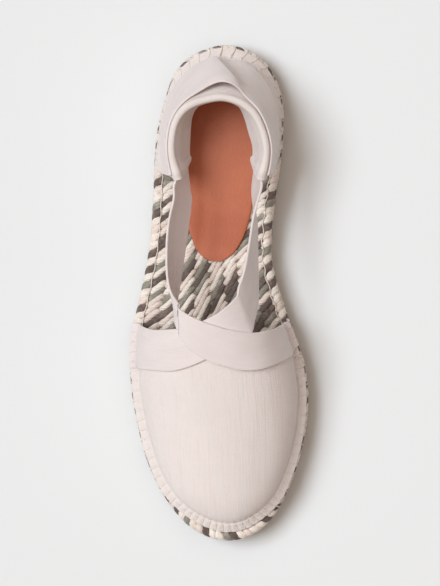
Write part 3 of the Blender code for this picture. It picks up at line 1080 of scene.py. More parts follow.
@dataclass(frozen=True)
class CanvasFinish:
    """Natural cotton canvas: a plain weave with slubs along the foot."""

    colour: tuple = (0.90, 0.815, 0.785)
    warm: tuple = (0.86, 0.75, 0.69)
    cloud_tone: float = 0.97
    thread_pitch_mm: float = 0.62
    slubs: Grain = Grain(14.0, 0.9, 3.0, 0.6)
    streaks: Grain = Grain(42.0, 2.1, start=7.0)
    weft: Grain = Grain(0.8, 9.0, 2.0, 0.55, 3.0)
    clouds: Cloud = Cloud(0.035)
    depth: float = 0.30 * MM
    roughness: float = 0.92
    sheen: float = 0.25
    sheen_roughness: float = 0.6

    def material(self, name: str) -> bpy.types.Material:
        """Makes the material, whose warp follows the first texture place.

        Args:
            name: Its name.

        Returns:
            The material.
        """
        board = Board(name)
        u, v = board.cloth_places()
        slub = board.grain(u, v, self.slubs)
        streak = board.grain(u, v, self.streaks)
        weft = board.grain(u, v, self.weft)
        weave = u.wave(self.thread_pitch_mm) * v.wave(self.thread_pitch_mm)
        cloud = board.cloud(board.object_place(), self.clouds)
        tint = cloud.step(0.35, 0.65).choose(self.colour, toned(self.colour, self.cloud_tone))
        share = slub.step(0.50, 0.70) * 0.5 + weft.step(0.5, 0.75) * 0.15 + streak.step(0.5, 0.68) * 0.45
        return board.finish(
            0.6 * slub + 0.5 * streak + 0.28 * weft + 0.20 * weave,
            self.depth,
            Base_Color=share.choose(tint, self.warm),
            Roughness=self.roughness,
            Sheen_Weight=self.sheen,
            Sheen_Roughness=self.sheen_roughness,
        )


@dataclass(frozen=True)
class ElasticFinish:
    """Elastic webbing: fine ribs along the band, crossed by a finer grain, with a slight sheen."""

    colour: tuple = (0.815, 0.73, 0.715)
    soft_tone: float = 0.955
    rib_pitch_mm: float = 0.9
    pick_pitch_mm: float = 0.7
    fine: Grain = Grain(0.6, 0.35, 2.0, 0.6)
    soft: Grain = Grain(22.0, 7.0)
    depth: float = 0.064 * MM
    roughness: float = 0.68
    sheen: float = 0.35
    sheen_roughness: float = 0.45

    def material(self, name: str) -> bpy.types.Material:
        """Makes the material, whose ribs follow the first texture place.

        Args:
            name: Its name.

        Returns:
            The material.
        """
        board = Board(name)
        u, v = board.cloth_places()
        soft = board.grain(u, v, self.soft).step(0.3, 0.7)
        rib = v.wave(self.rib_pitch_mm)
        pick = u.wave(self.pick_pitch_mm)
        return board.finish(
            0.35 * rib + 0.2 * pick + 0.45 * board.grain(u, v, self.fine),
            self.depth,
            Base_Color=soft.choose(self.colour, toned(self.colour, self.soft_tone)),
            Roughness=self.roughness,
            Sheen_Weight=self.sheen,
            Sheen_Roughness=self.sheen_roughness,
        )


@dataclass(frozen=True)
class LeatherFinish:
    """Smooth vegetable-tanned leather with a fine grain."""

    colour: tuple = (0.535, 0.150, 0.066)
    dark: tuple = (0.42, 0.095, 0.034)
    pore_scale: float = 0.9
    fine: Cloud = Cloud(1.4, 4.0, 0.6)
    clouds: Cloud = Cloud(0.045, 3.0, 0.55)
    depth: float = 0.10 * MM
    gloss: float = 0.4

    def material(self, name: str) -> bpy.types.Material:
        """Makes the material, in the object's own places.

        Args:
            name: Its name.

        Returns:
            The material.
        """
        board = Board(name)
        place = board.object_place()
        inputs = {"Vector": place, "Scale": self.pore_scale}
        pores = board.node("ShaderNodeTexVoronoi", {"feature": "F1"}, inputs)
        grain = board.cloud(place, self.fine)
        share = board.cloud(place, self.clouds).step(0.35, 0.70) * 0.55 + grain * 0.12
        return board.finish(
            0.5 * pores + 0.5 * grain,
            self.depth,
            Base_Color=share.choose(self.colour, self.dark),
            Roughness=0.40 + 0.16 * grain,
            Specular_IOR_Level=self.gloss,
        )


class Yarn(Enum):
    """The dyed yarns of the rope: ground colour and second colour."""

    C = ((0.93, 0.85, 0.77), (0.70, 0.60, 0.51))
    P = ((0.86, 0.74, 0.67), (0.62, 0.50, 0.43))
    S = ((0.250, 0.232, 0.190), (0.52, 0.465, 0.40))
    A = ((0.115, 0.082, 0.070), (0.31, 0.235, 0.20))


@dataclass(frozen=True)
class RopeFinish:
    """Soft jute plies: fine fibres that wind along each ply."""

    yarn: Yarn
    twist: float = 0.55
    yarn_pitch_mm: float = 1.35
    fibres: Grain = Grain(5.0, 0.42, 3.0, 0.65)
    patches: Cloud = Cloud(0.27)
    depth: float = 0.32 * MM
    roughness: float = 0.93
    sheen: float = 0.2

    def material(self, name: str) -> bpy.types.Material:
        """Makes the material, whose fibres wind round the first texture place.

        Args:
            name: Its name.

        Returns:
            The material.
        """
        board = Board(name)
        u, v = board.cloth_places()
        wound = v + u * self.twist
        fibre = board.grain(u, wound, self.fibres)
        patch = board.cloud(board.object_place(), self.patches)
        share = patch.step(0.50, 0.66) * 0.42 + fibre.step(0.42, 0.72) * 0.45
        return board.finish(
            0.6 * fibre + 0.2 * wound.wave(self.yarn_pitch_mm),
            self.depth,
            Base_Color=share.choose(*self.yarn.value),
            Roughness=self.roughness,
            Sheen_Weight=self.sheen,
        )


@dataclass(frozen=True)
class ThreadFinish:
    """Thick cotton thread, laid in a twist, with painted shade in the grooves of the twist."""

    colour: tuple = (0.92, 0.82, 0.745)
    # Painted shade: share of the colour left in the grooves of the twist
    groove_shade_tone: float = 0.90
    lay: tuple = (2.2, 1.1)
    lay_pitch_mm: float = 1.6
    fuzz: Grain = Grain(1.2, 0.3, 2.0, 0.6)
    depth: float = 0.18 * MM
    roughness: float = 0.85

    def material(self, name: str) -> bpy.types.Material:
        """Makes the material, whose twist follows the first texture place.

        Args:
            name: Its name.

        Returns:
            The material.
        """
        board = Board(name)
        u, v = board.cloth_places()
        lay = (u * self.lay[0] + v * self.lay[1]).wave(self.lay_pitch_mm)
        # Painted shade: darker where the twist sinks into a groove
        colour = (0.5 + 0.5 * lay).choose(toned(self.colour, self.groove_shade_tone), self.colour)
        height = 0.4 * lay + 0.6 * board.grain(u, v, self.fuzz)
        return board.finish(height, self.depth, Base_Color=colour, Roughness=self.roughness)


@dataclass(frozen=True)
class RubberFinish:
    """Matt tan rubber sheet with a fine pebbled skin."""

    colour: tuple = (0.30, 0.20, 0.12)
    dusty: tuple = (0.36, 0.27, 0.19)
    pebble_scale: float = 0.8
    dust: Cloud = Cloud(0.12, 3.0, 0.6)
    depth: float = 0.16 * MM

    def material(self, name: str) -> bpy.types.Material:
        """Makes the material, in the object's own places.

        Args:
            name: Its name.

        Returns:
            The material.
        """
        board = Board(name)
        place = board.object_place()
        inputs = {"Vector": place, "Scale": self.pebble_scale}
        pebble = board.node("ShaderNodeTexVoronoi", {"feature": "SMOOTH_F1"}, inputs)
        dust = board.cloud(place, self.dust)
        colour = (dust.step(0.45, 0.75) * 0.5).choose(self.colour, self.dusty)
        return board.finish(pebble, self.depth, Base_Color=colour, Roughness=0.68 + 0.15 * dust)


@dataclass(frozen=True)
class CoreShadeFinish:
    """Jute with painted shade: coloured dark for the shade deep between the plies."""

    # Painted shade: a dark brown in place of the shade in the gaps between the plies
    colour: tuple = (0.24, 0.175, 0.13)
    fibre_tone: float = 1.9
    fibres: Cloud = Cloud(0.8, 4.0, 0.7)
    depth: float = 0.3 * MM
    roughness: float = 0.95

    def material(self, name: str) -> bpy.types.Material:
        """Makes the material, in the object's own places.

        Args:
            name: Its name.

        Returns:
            The material.
        """
        board = Board(name)
        fibre = board.cloud(board.object_place(), self.fibres)
        colour = fibre.step(0.35, 0.75).choose(self.colour, toned(self.colour, self.fibre_tone))
        return board.finish(fibre, self.depth, Base_Color=colour, Roughness=self.roughness)


def place_on_shoe(piece: bpy.types.Object, slot: str, *materials: bpy.types.Material) -> bpy.types.Object:
    """Gives a piece its materials and its body.

    Args:
        piece: The piece.
        slot: Name of its finish, not used.
        *materials: Its materials, in order.

    Returns:
        The piece.
    """
    for material in materials:
        piece.data.materials.append(material)
    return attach(piece, ROOT)


@dataclass
class RopeSole:
    """The braided rope sole: a core with painted shade, and plies all round its side and over its open top.
    """

    last: Last
    core_inset: float = 0.0016
    # Rings of the core: further inset, share of the rope's height, and drop
    core_rings: tuple = ((0.0008, 0.0, 0.0), (0.0, 0.12, 0.0), (0.0, 0.80, 0.0), (0.0012, 1.0, 0.0017))
    core_steps: int = 4
    rim_steps: int = 24
    rim_points: int = 1201
    rim_rounds: int = 3
    side_pitch: float = 0.0040
    side_slant: float = 0.0072
    side_fullness: float = 1.06
    side_sharpness: float = 4.0
    inner_inset: float = 0.0030
    inner_drop: float = 0.12
    inner_heights: tuple = (0.3, 0.62)
    lower_start: float = 0.0005
    ply_half_height: float = 0.0015
    ply_tip: float = 0.03
    wall_inset: float = 0.0046
    field_overlap: float = 0.0004
    top_rows: int = 8
    top_from: float = 0.215
    top_to: float = 0.66
    top_overlap: float = 0.10
    top_fullness: float = 1.08
    top_sharpness: float = 5.0
    end_dip: float = 0.0015
    stations: int = 11
    field_steps: int = 12
    curl: float = 0.0009
    wall_chart: str = "CACSCPACCSACPCCA"
    side_chart: str = "CCSPCACCPSCACPCS"
    top_charts: tuple = (
        "SACSSCCACAPPAAPCSCACSPPPACPCSC",
        "CPSCACCPSACCSPCAPCSCAPCSCPAC",
        "APPSACCPCASCPSAPCSCAPPSCACPS",
        "CASPPCSACPPCSASCPCAPCSSACPCA",
        "PCSCACPCSSPCCPCSACPCCPSCACPC",
        "SCPCCASCPCSPCCPAASCPCAPSCCPA",
        "CSCCPACSPCCASPCPCAASPCSACPCS",
        "PCCASACCCSCACASCPSASPAASCPCA",
    )
    slants: tuple = (26.0, 38.0, 50.0, 56.0, 56.0, 50.0, 38.0, 28.0)
    pitches_mm: tuple = (3.6, 3.9, 4.3, 4.6, 4.6, 4.3, 3.9, 3.6)
    looseness: float = 0.35
    loose_slant: float = 8.0
    loose_across: float = 0.12
    loose_along: float = 0.0012
    loose_width: float = 0.22
    seed: int = 11

    @cached_property
    def rim(self) -> tuple[Array, Array, float]:
        """The sole's edge as a closed line.

        Returns:
            Its points in plan from the heel along the lateral side to the toe and back, its outward
            directions, and its length.
        """
        lateral, medial = self.last.outline(OUTLINE, self.rim_steps, 0.0)
        line = np.vstack([lateral, medial[-2::-1]])
        run = path_length(line)
        points = on_line(np.linspace(0.0, run[-1], self.rim_points), run, line)
        tangent = np.roll(points[:-1], -1, axis=0) - np.roll(points[:-1], 1, axis=0)
        tangent = np.vstack([tangent, tangent[:1]])
        for _ in range(self.rim_rounds):
            tangent[1:-1] = (tangent[:-2] + tangent[1:-1] + tangent[2:]) / 3
        outward = unit(np.stack([tangent[:, 1], -tangent[:, 0]], axis=1))
        return points, outward, float(run[-1])

    def at_rim(self, run: Array, inset: Array, share: Array) -> Array:
        """Points inside the edge.

        Args:
            run: Lengths along the edge, in metres.
            inset: Distances in from the edge, in metres.
            share: Heights as shares of the rope's thickness.

        Returns:
            Points in space.
        """
        points, outward, total = self.rim
        where = np.mod(run, total) / total * (len(points) - 1)
        count = np.arange(len(points))
        away = unit(on_line(where, count, outward))
        plan = on_line(where, count, points) - away * np.asarray(inset)[..., None]
        height = self.last.in_rope(self.last.along_of(plan[..., 1]), share)
        return np.concatenate([plan, height[..., None]], axis=-1)

    def ply_profile(self, sharpness: float) -> Array:
        """Share of the full girth at each station of a ply."""
        place = np.abs(np.linspace(-1.0, 1.0, self.stations))
        return np.sqrt(np.clip(1.0 - place**sharpness, self.ply_tip, 1.0))

    def numbers(self, chart: str, count: int) -> Array:
        """Number of the yarn of each ply, from a chart that is repeated."""
        order = [yarn.name for yarn in Yarn]
        return np.array([order.index(chart[i % len(chart)]) for i in range(count)])

    def build_core(self) -> bpy.types.Object:
        """The slab between the plies.

        Returns:
            The slab.
        """
        last = self.last
        rings = []
        for further, share, drop in self.core_rings:
            ring = last.ring(OUTLINE, self.core_steps, self.core_inset + further)
            rings.append(np.column_stack([ring, last.in_rope(last.along_of(ring[:, 1]), share) - drop]))
        maker = SolidMesh()
        maker.loft(rings, (0, len(rings) - 1))
        return maker.build("jute_core")

    def side_plies(
        self, name: str, section: Array, slant: float, chart: str, start: float
    ) -> bpy.types.Object:
        """One row of plies round the sole's side.

        Args:
            name: The row's name.
            section: Inset in millimetres and height share of a ply's centre line.
            slant: How far a ply moves along the edge on its way down.
            chart: One letter for the yarn of each ply, repeated.
            start: Where the first ply lies along the edge.

        Returns:
            The row.
        """
        total = self.rim[2]
        count = int(round(total / self.side_pitch))
        share = np.linspace(0.0, 1.0, self.stations)
        profile = through(section, share * (len(section) - 1))
        run = start + np.arange(count)[:, None] * total / count + slant * (share - 0.5)
        inset = np.broadcast_to(profile[:, 0] * MM, run.shape)
        height = np.broadcast_to(profile[:, 1], run.shape)
        paths = self.at_rim(run, inset, height)
        inner_height = np.clip(height - self.inner_drop, *self.inner_heights)
        inner = self.at_rim(run, inset + self.inner_inset, inner_height)
        girth = self.ply_profile(self.side_sharpness)
        width = total / count / 2 * self.side_fullness
        shades = self.numbers(chart, count)
        rods = Rods(paths, unit(paths - inner), width * girth, self.ply_half_height * girth, shades)
        return rods.build(name)

    @cached_property
    def field_edges(self) -> list[Array]:
        """The two edges of the field of plies on top."""
        return self.last.outline(OUTLINE, self.field_steps, self.wall_inset - self.field_overlap)

    def top_point(self, along: Array, share: Array) -> Array:
        """A place on top, across the field inside the wall plies.

        Args:
            along: Shares of the length.
            share: From 0 at the lateral to 1 at the medial edge of the field.

        Returns:
            Points in space at the height of the sole's top.
        """
        y = self.last.y_of(along)
        left, right = (np.interp(-y, -edge[:, 1], edge[:, 0]) for edge in self.field_edges)
        z = self.last.sole_top + self.last.spring(along)
        return np.stack([left + (right - left) * share, y, z], axis=-1)

    def build_top(self) -> bpy.types.Object:
        """Rows of slanting plies on top of the sole, where the upper leaves it open.

        Returns:
            The plies.
        """
        length = self.last.length
        chance = np.random.default_rng(self.seed)
        share = np.linspace(0.0, 1.0, self.stations)
        reach = 1 + 2 * self.top_overlap
        paths, widths, shades = [], [], []
        for row, (slant, pitch_mm, chart) in enumerate(zip(self.slants, self.pitches_mm, self.top_charts)):
            pitch = pitch_mm * MM
            count = int((self.top_to - self.top_from) * length / pitch)
            loose = chance.uniform(-self.looseness, self.looseness, (3, count, 1))
            start = self.top_from + (np.arange(count)[:, None] + 0.5 * (row % 2)) * pitch / length
            left = self.top_point(start, row / self.top_rows)
            right = self.top_point(start, (row + 1) / self.top_rows)
            wide = (right - left)[..., 0]
            slope = np.tan(np.radians(slant + self.loose_slant * loose[0]))
            across = (row - self.top_overlap + reach * share + self.loose_across * loose[1]) / self.top_rows
            shift = (wide * slope * (share - 0.5) * reach + self.loose_along * loose[2]) / length
            curl = self.curl * np.sin(2 * np.pi * share) / length
            path = self.top_point(start - shift + curl, across)
            path[..., 2] += GAP - self.ply_half_height - self.end_dip * np.abs(2 * share - 1) ** 3
            paths.append(path)
            width = pitch * np.cos(np.radians(slant)) / 2 * self.top_fullness
            widths.append(width * (1 + self.loose_width * loose[1, :, 0]))
            shades.append(self.numbers(chart, count))
        paths, widths, shades = np.concatenate(paths), np.concatenate(widths), np.concatenate(shades)
        normals = np.broadcast_to((0.0, 0.0, 1.0), paths.shape)
        girth = self.ply_profile(self.top_sharpness)
        rods = Rods(paths, normals, widths[:, None] * girth, self.ply_half_height * girth, shades)
        return rods.build("rope_top_plies")

    def build(self) -> list[bpy.types.Object]:
        """Builds and dresses the sole.

        Returns:
            Its pieces.
        """
        yarns = [RopeFinish(yarn).material(f"jute_{yarn.name.lower()}") for yarn in Yarn]
        core = self.build_core()
        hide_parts("jute_sole")
        place_on_shoe(core, "rope", CoreShadeFinish().material("jute_shadow"))
        slant = self.side_slant
        rows = [
            self.side_plies("rope_wall_upper", UPPER_PLY, slant, self.wall_chart, 0.0),
            self.side_plies("rope_wall_lower", LOWER_PLY, -slant, self.side_chart, self.lower_start),
            self.build_top(),
        ]
        return [core] + [place_on_shoe(row, "rope", *yarns) for row in rows]


@dataclass
class Outsole:
    """The rubber sheet under the rope."""

    node: str = "outsole"

    def build(self) -> list[bpy.types.Object]:
        """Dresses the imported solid, whose shape stays.

        Returns:
            The solid.
        """
        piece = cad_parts[self.node]
        piece.data.materials.clear()
        piece.data.materials.append(RubberFinish().material("tan_rubber"))
        return [piece]


@dataclass
class Insole:
    """The leather half sock, a thin slab with a soft edge that is closed along its middle line."""

    last: Last
    thickness: float = 0.0012
    edge_radius: float = 0.0006
    outline_steps: int = 8
    edge_rings: int = 4
    rings: int = 14

    def build(self) -> list[bpy.types.Object]:
        """Builds and dresses the sock.

        Returns:
            The sock.
        """
        last = self.last
        ring = last.ring(SOCK, self.outline_steps, 0.0)
        size = len(ring)
        half = size // 2
        spine = (ring + ring[(size - np.arange(size)) % size]) / 2
        spine[0], spine[half] = ring[0], ring[half]
        foot = last.base(last.along_of(ring[:, 1]))
        rings = [np.column_stack([ring, foot])]
        for angle in np.linspace(0.0, np.pi / 2, self.edge_rings):
            inward = unit(spine - ring) * self.edge_radius * (1 - np.cos(angle))
            inward[[0, half]] = 0.0
            height = foot + self.thickness * (0.5 + 0.5 * np.sin(angle))
            rings.append(np.column_stack([ring + inward, height]))
        edge = rings[-1][:, :2]
        for share in np.linspace(0.0, 1.0, self.rings + 1)[1:]:
            plan = edge + (spine - edge) * share
            rings.append(np.column_stack([plan, last.base(last.along_of(plan[:, 1])) + self.thickness]))
        maker = SolidMesh()
        maker.loft(rings, (0,))
        piece = maker.build("leather_sock", weld=True)
        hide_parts("insole")
        return [place_on_shoe(piece, "sock_leather", LeatherFinish().material("terracotta_leather"))]


@dataclass
class HemGuide:
    """A grid over the vamp whose columns run from the hem up to the crown, also round the toe."""

    last: Last
    rear_side: float
    rear_middle: float
    rows: int = 260
    columns: int = 97
    fan: float = 0.90
    crowding: float = 1.7

    @cached_property
    def places(self) -> tuple[Array, Array]:
        """The grid on the vamp, from the toe's tip to the rear edge.

        Returns:
            Share of the length, and turn, at each point.
        """
        last = self.last
        even = np.linspace(-1.0, 1.0, self.columns)
        turns = np.sign(even) * (1.0 - (1.0 - np.abs(even)) ** self.crowding)
        keep = 1.0 - np.abs(np.sin(turns * np.pi / 2)) ** (2.0 / last.fullness)
        shares = np.linspace(0.0, 1.0, self.rows)
        ridge_along = self.fan + (self.rear_middle - self.fan) * shares
        ridge_x = last.vamp_frame(ridge_along)[0]
        ridge = np.stack([ridge_x, last.y_of(ridge_along)], axis=-1)
        sides = []
        for line in last.dome_line:
            part = line[line[:, 1] <= last.y_of(self.rear_side)][::-1]
            run = path_length(part)
            sides.append(on_line(shares * run[-1], run, part))
        foot = np.where((turns < 0)[None, :, None], sides[0][:, None], sides[1][:, None])
        plan = foot + (ridge[:, None] - foot) * keep[None, :, None]
        along = last.along_of(plan[..., 1])
        turn = last.turn_of(along, plan[..., 0])
        turn[:, 0], turn[:, -1] = -1.0, 1.0
        turn[0, 0] = turn[0, -1] = 0.0
        return along, turn

    @cached_property
    def grid(self) -> Array:
        """Points of the vamp's inner face."""
        return self.last.vamp_point(*self.places)

    @cached_property
    def outward(self) -> Array:
        """Direction out of the vamp at each point."""
        return Sheet(self.grid, 0.0, folded_start=True).normals(self.grid)

    @cached_property
    def up(self) -> Array:
        """Way over the surface from the hem.

        Returns:
            The distance at each point.
        """
        from_lateral = path_length(self.grid, axis=1)
        from_medial = from_lateral[:, -1:] - from_lateral
        return np.minimum(from_lateral, from_medial)

    @cached_property
    def round_toe(self) -> Array:
        """Way over the hem from the toe's tip to each point's column foot.

        Returns:
            The distance at each point, below 0 on the lateral side.
        """
        lateral = -path_length(self.grid[:, 0])
        medial = path_length(self.grid[:, -1])
        middle = self.columns // 2
        run = np.empty(self.grid.shape[:2])
        run[:, :middle] = lateral[:, None]
        run[:, middle:] = medial[:, None]
        return run

    def hem_point(self, run: float, up: float, distance: float) -> Array:
        """A point over the hem.

        Args:
            run: Distance from the toe's tip along the hem, below 0 on the lateral side.
            up: Distance up from the hem's edge over the surface.
            distance: Distance outside the vamp's inner face.

        Returns:
            The point.
        """
        half = self.columns // 2
        side = slice(0, half + 1) if run < 0 else slice(self.columns - 1, half - 1, -1)
        feet = np.abs(self.round_toe[:, 0 if run < 0 else -1])
        row = np.interp(abs(run), feet, np.arange(self.rows))
        first = min(int(row), self.rows - 2)
        part = row - first
        near = self.grid[first, side] * (1 - part) + self.grid[first + 1, side] * part
        normal = self.outward[first, side] * (1 - part) + self.outward[first + 1, side] * part
        reach = path_length(near)
        return on_line(up, reach, near) + unit(on_line(up, reach, normal)) * distance


@dataclass
class Vamp:
    """The canvas toe part: a thin dome with a turned hem, gathered by its stitches."""

    last: Last
    rear_side: float = 0.584
    rear_middle: float = 0.602
    band_front: float = 0.652
    band_fade: float = 0.006
    hem_width: float = 0.0050
    hem_rise: float = 0.0004
    hem_fade: float = 0.0008
    groove_depth: float = 0.00022
    groove_above: float = 0.0010
    groove_width: float = 0.0006
    toe_pitch: float = 0.0037
    side_pitch: float = 0.0050
    toe_run: float = 0.022
    toe_fade: float = 0.020
    stitched_reach: float = 0.2
    pinch_depth: float = 0.00036
    pinch_width: float = 0.00095
    pinch_top: float = 0.0042
    pinch_fade: float = 0.0018
    gather_depth: float = 0.00012
    toe_gather_depth: float = 0.00030
    toe_gather_reach: float = 0.040
    gather_width: float = 0.0015
    gather_place: float = 0.0065
    gather_height: float = 0.0026
    arc_steps: int = 25

    @cached_property
    def guide(self) -> HemGuide:
        """The grid that the piece is built on."""
        return HemGuide(self.last, self.rear_side, self.rear_middle)

    @property
    def bare(self) -> Array:
        """1 where the canvas shows, falling to 0 under the bands."""
        return ease((self.guide.places[0] - self.band_front) / self.band_fade)

    def stitches(self, reach: float) -> Array:
        """Where the whip stitches lie round the hem.

        Args:
            reach: Distance from the toe's tip to the last of them.

        Returns:
            Their distances from the tip, below 0 on the lateral side.
        """
        spots = [0.5 * self.toe_pitch]
        while spots[-1] < reach:
            on_side = float(ease((spots[-1] - self.toe_run) / self.toe_fade))
            spots.append(spots[-1] + self.toe_pitch + (self.side_pitch - self.toe_pitch) * on_side)
        spots = np.array(spots[:-1])
        return np.concatenate([-spots[::-1], spots])

    def relief(self) -> Array:
        """The hem's fold and the groove above it.

        Returns:
            Their height over the outer face at each point of the grid.
        """
        above = self.guide.up - self.hem_width
        fold = self.hem_rise * (1 - ease(above / self.hem_fade))
        groove = self.groove_depth * hump(above - self.groove_above, self.groove_width)
        return (fold - groove) * self.bare

    def sway(self) -> Array:
        """Gathers at the stitches and soft troughs over the toes.

        Returns:
            Movement of both faces at each point of the grid.
        """
        up, run = self.guide.up, self.guide.round_toe
        spots = self.stitches(self.stitched_reach)
        nearest = spots[np.clip(np.searchsorted((spots[1:] + spots[:-1]) / 2, run), 0, len(spots) - 1)]
        below = 1 - ease((up - self.pinch_top) / self.pinch_fade)
        pinch = self.pinch_depth * hump(run - nearest, self.pinch_width) * below
        depth = self.gather_depth + self.toe_gather_depth * hump(run, self.toe_gather_reach)
        near = hump(run - nearest, self.gather_width)
        gather = depth * near * hump(up - self.gather_place, self.gather_height)
        return troughs(self.guide.grid[..., :2] / MM, VAMP_TROUGHS) - (pinch + gather) * self.bare

    def build(self) -> list[bpy.types.Object]:
        """Builds and dresses the vamp.

        Returns:
            The vamp.
        """
        grid = self.guide.grid
        along, turn = self.guide.places
        steps = np.linspace(0.0, 1.0, self.arc_steps)[:, None, None]
        arc = path_length(self.last.vamp_point(along[None], turn[None] * steps), axis=0)[-1]
        texture = np.stack([grid[..., 1], np.sign(turn) * arc], axis=-1)
        sheet = Sheet(grid, self.last.canvas, self.relief(), self.sway(), folded_start=True, texture=texture)
        piece = sheet.build("canvas_vamp")
        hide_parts("upper_vamp")
        return [place_on_shoe(piece, "canvas", CanvasFinish().material("vamp_canvas"))]


@dataclass
class Counter:
    """The canvas heel part with its facing turned in at the rim, and the wide elastic round it."""

    last: Last
    places: int = 181
    rises: int = 36
    drops: int = 14
    fold_steps: int = 7
    fold_lift: float = 0.75
    top_rise: float = 0.985
    first_drop: float = 0.03
    strap_room: float = 0.0009
    room_rows: float = 1.8
    facing_slant: float = 0.0085
    slant_rows: float = 1.3
    rim_pressing: float = 0.00070
    pressed_rows: float = 3.0
    pressing_fade: float = 4.0
    band_places: int = 281
    band_shares: int = 29
    band_end: float = 0.35
    band_low: float = 0.42
    band_dip: float = 0.20
    band_top: float = 0.955
    band_gap: float = 0.00012
    stand_off: float = 0.0022
    crease_start_mm: tuple = (-3.0, 117.5)
    crease_end_mm: tuple = (12.0, 96.0)
    crease_height: float = 0.0040
    crease_slow_mm: float = 11.0
    crease_steep_mm: float = 2.6
    crease_drop: float = 0.0020
    drop_place_mm: float = 5.5
    drop_width_mm: float = 4.0
    drop_top: float = 0.72
    drop_fade: float = 0.2
    fade_in: tuple = (0.35, 0.25)
    weaker_by: float = 0.75
    weaker_from: float = 0.60
    weaker_span: float = 0.45
    fade_out_from: float = 1.1
    fade_out_span: float = 0.3

    def build_canvas(self) -> bpy.types.Object:
        """The wall and the facing, one sheet folded at the rim.

        Returns:
            The sheet.
        """
        last = self.last
        spots = np.linspace(0.0, last.collar_end, self.places)
        rises = np.linspace(0.0, self.top_rise, self.rises)
        wall = last.canvas_wall(*np.meshgrid(spots, rises, indexing="ij"))
        place, drop = np.meshgrid(spots, np.linspace(self.first_drop, 1.0, self.drops), indexing="ij")
        inwards = self.strap_room * last.at_corner(place, self.room_rows)
        facing = last.off_collar(last.facing_point, place, drop, inwards)
        facing[..., 2] -= last.corner_drop * last.at_corner(place, last.corner_rows) * (1.0 - drop) ** 2
        facing[..., 1] += self.facing_slant * last.at_corner(place, self.slant_rows) * drop
        turn = np.linspace(0.0, np.pi, self.fold_steps)[1:-1]
        centre = (wall[:, -1:] + facing[:, :1]) / 2
        arm = (wall[:, -1:] - facing[:, :1]) / 2
        lift = np.linalg.norm(arm, axis=-1, keepdims=True) * (0.0, 0.0, self.fold_lift)
        fold = centre + arm * np.cos(turn)[None, :, None] + lift * np.sin(turn)[None, :, None]
        grid = np.concatenate([wall, fold, facing], axis=1)
        plan = grid[..., :2] / MM
        sway = troughs(plan, COUNTER_TROUGHS)
        sway[:, :self.rises] -= self.crease(plan[:, :self.rises], rises[None, :])[1]
        return Sheet(grid, last.canvas, self.rim_relief(grid.shape[1]), sway).build("canvas_counter")

    def rim_relief(self, columns: int) -> Array:
        """The rim pressed thinner.

        Args:
            columns: Number of points from the foot over the rim to the facing's edge.

        Returns:
            Height over the outer face at each of them, below 0 at the rim.
        """
        fold = self.rises + (self.fold_steps - 3) / 2
        from_fold = np.abs(np.arange(columns) - fold)
        pressed = 1.0 - ease((from_fold - self.pressed_rows) / self.pressing_fade)
        return (-self.rim_pressing * pressed)[None, :]

    def band_grid(self) -> tuple[Array, Array]:
        """The elastic where it lies on the counter's wall.

        Returns:
            Its foot side, and how far each point lies up the wall.
        """
        last = self.last
        spots = np.linspace(self.band_end, last.collar_end - self.band_end, self.band_places)
        place, share = np.meshgrid(spots, np.linspace(0.0, 1.0, self.band_shares), indexing="ij")
        back = last.at_back(place)
        low = self.band_low - self.band_dip * back
        rise = low + (self.band_top - low) * share
        below_rim = (1.0 - rise / self.top_rise) * (self.rises - 1)
        pressed = self.rim_pressing * (1.0 - ease(below_rim / self.pressing_fade))
        off = last.canvas + self.band_gap - pressed + self.stand_off * back**5 * share**2
        return last.off_collar(last.counter_point, place, rise, off), rise

    def build_band(self) -> bpy.types.Object:
        """The elastic, pulled into a slanting fold behind the heel.

        Returns:
            The elastic.
        """
        grid, rise = self.band_grid()
        ridge, drop = self.crease(grid[..., :2] / MM, rise)
        return Sheet(grid, self.last.elastic, 0.0, ridge - drop).build("elastic_heel_band")

    def crease(self, plan: Array, rise: Array) -> tuple[Array, Array]:
        """The slanting fold: it rises slowly on the lateral side and falls off steeply on the medial one.

        Args:
            plan: Points in plan, in millimetres.
            rise: How far each point lies up the counter's wall.

        Returns:
            How far the elastic moves outwards on the fold, and how far it and the canvas sink beside it.
        """
        start, end = np.array(self.crease_start_mm), np.array(self.crease_end_mm)
        line = unit(end - start)
        offset = plan - start
        run = offset @ line / np.linalg.norm(end - start)
        away = offset @ np.array([-line[1], line[0]])
        height = np.where(away < 0, hump(away, self.crease_slow_mm), 1.0 - ease(away / self.crease_steep_mm))
        drop = hump(away - self.drop_place_mm, self.drop_width_mm)
        fade = ease(run / self.fade_in[0] + self.fade_in[1])
        fade = fade * (1.0 - self.weaker_by * ease((run - self.weaker_from) / self.weaker_span))
        fade = fade * (1.0 - ease((run - self.fade_out_from) / self.fade_out_span))
        below_rim = 1.0 - ease((rise - self.drop_top) / self.drop_fade)
        return self.crease_height * height * fade, self.crease_drop * drop * fade * below_rim

    def build(self) -> list[bpy.types.Object]:
        """Builds and dresses the heel part.

        Returns:
            The canvas and the elastic.
        """
        canvas = self.build_canvas()
        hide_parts("upper_counter")
        place_on_shoe(canvas, "canvas", CanvasFinish().material("counter_canvas"))
        band = self.build_band()
        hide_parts("heel_band")
        place_on_shoe(band, "elastic", ElasticFinish().material("heel_elastic"))
        return [canvas, band]


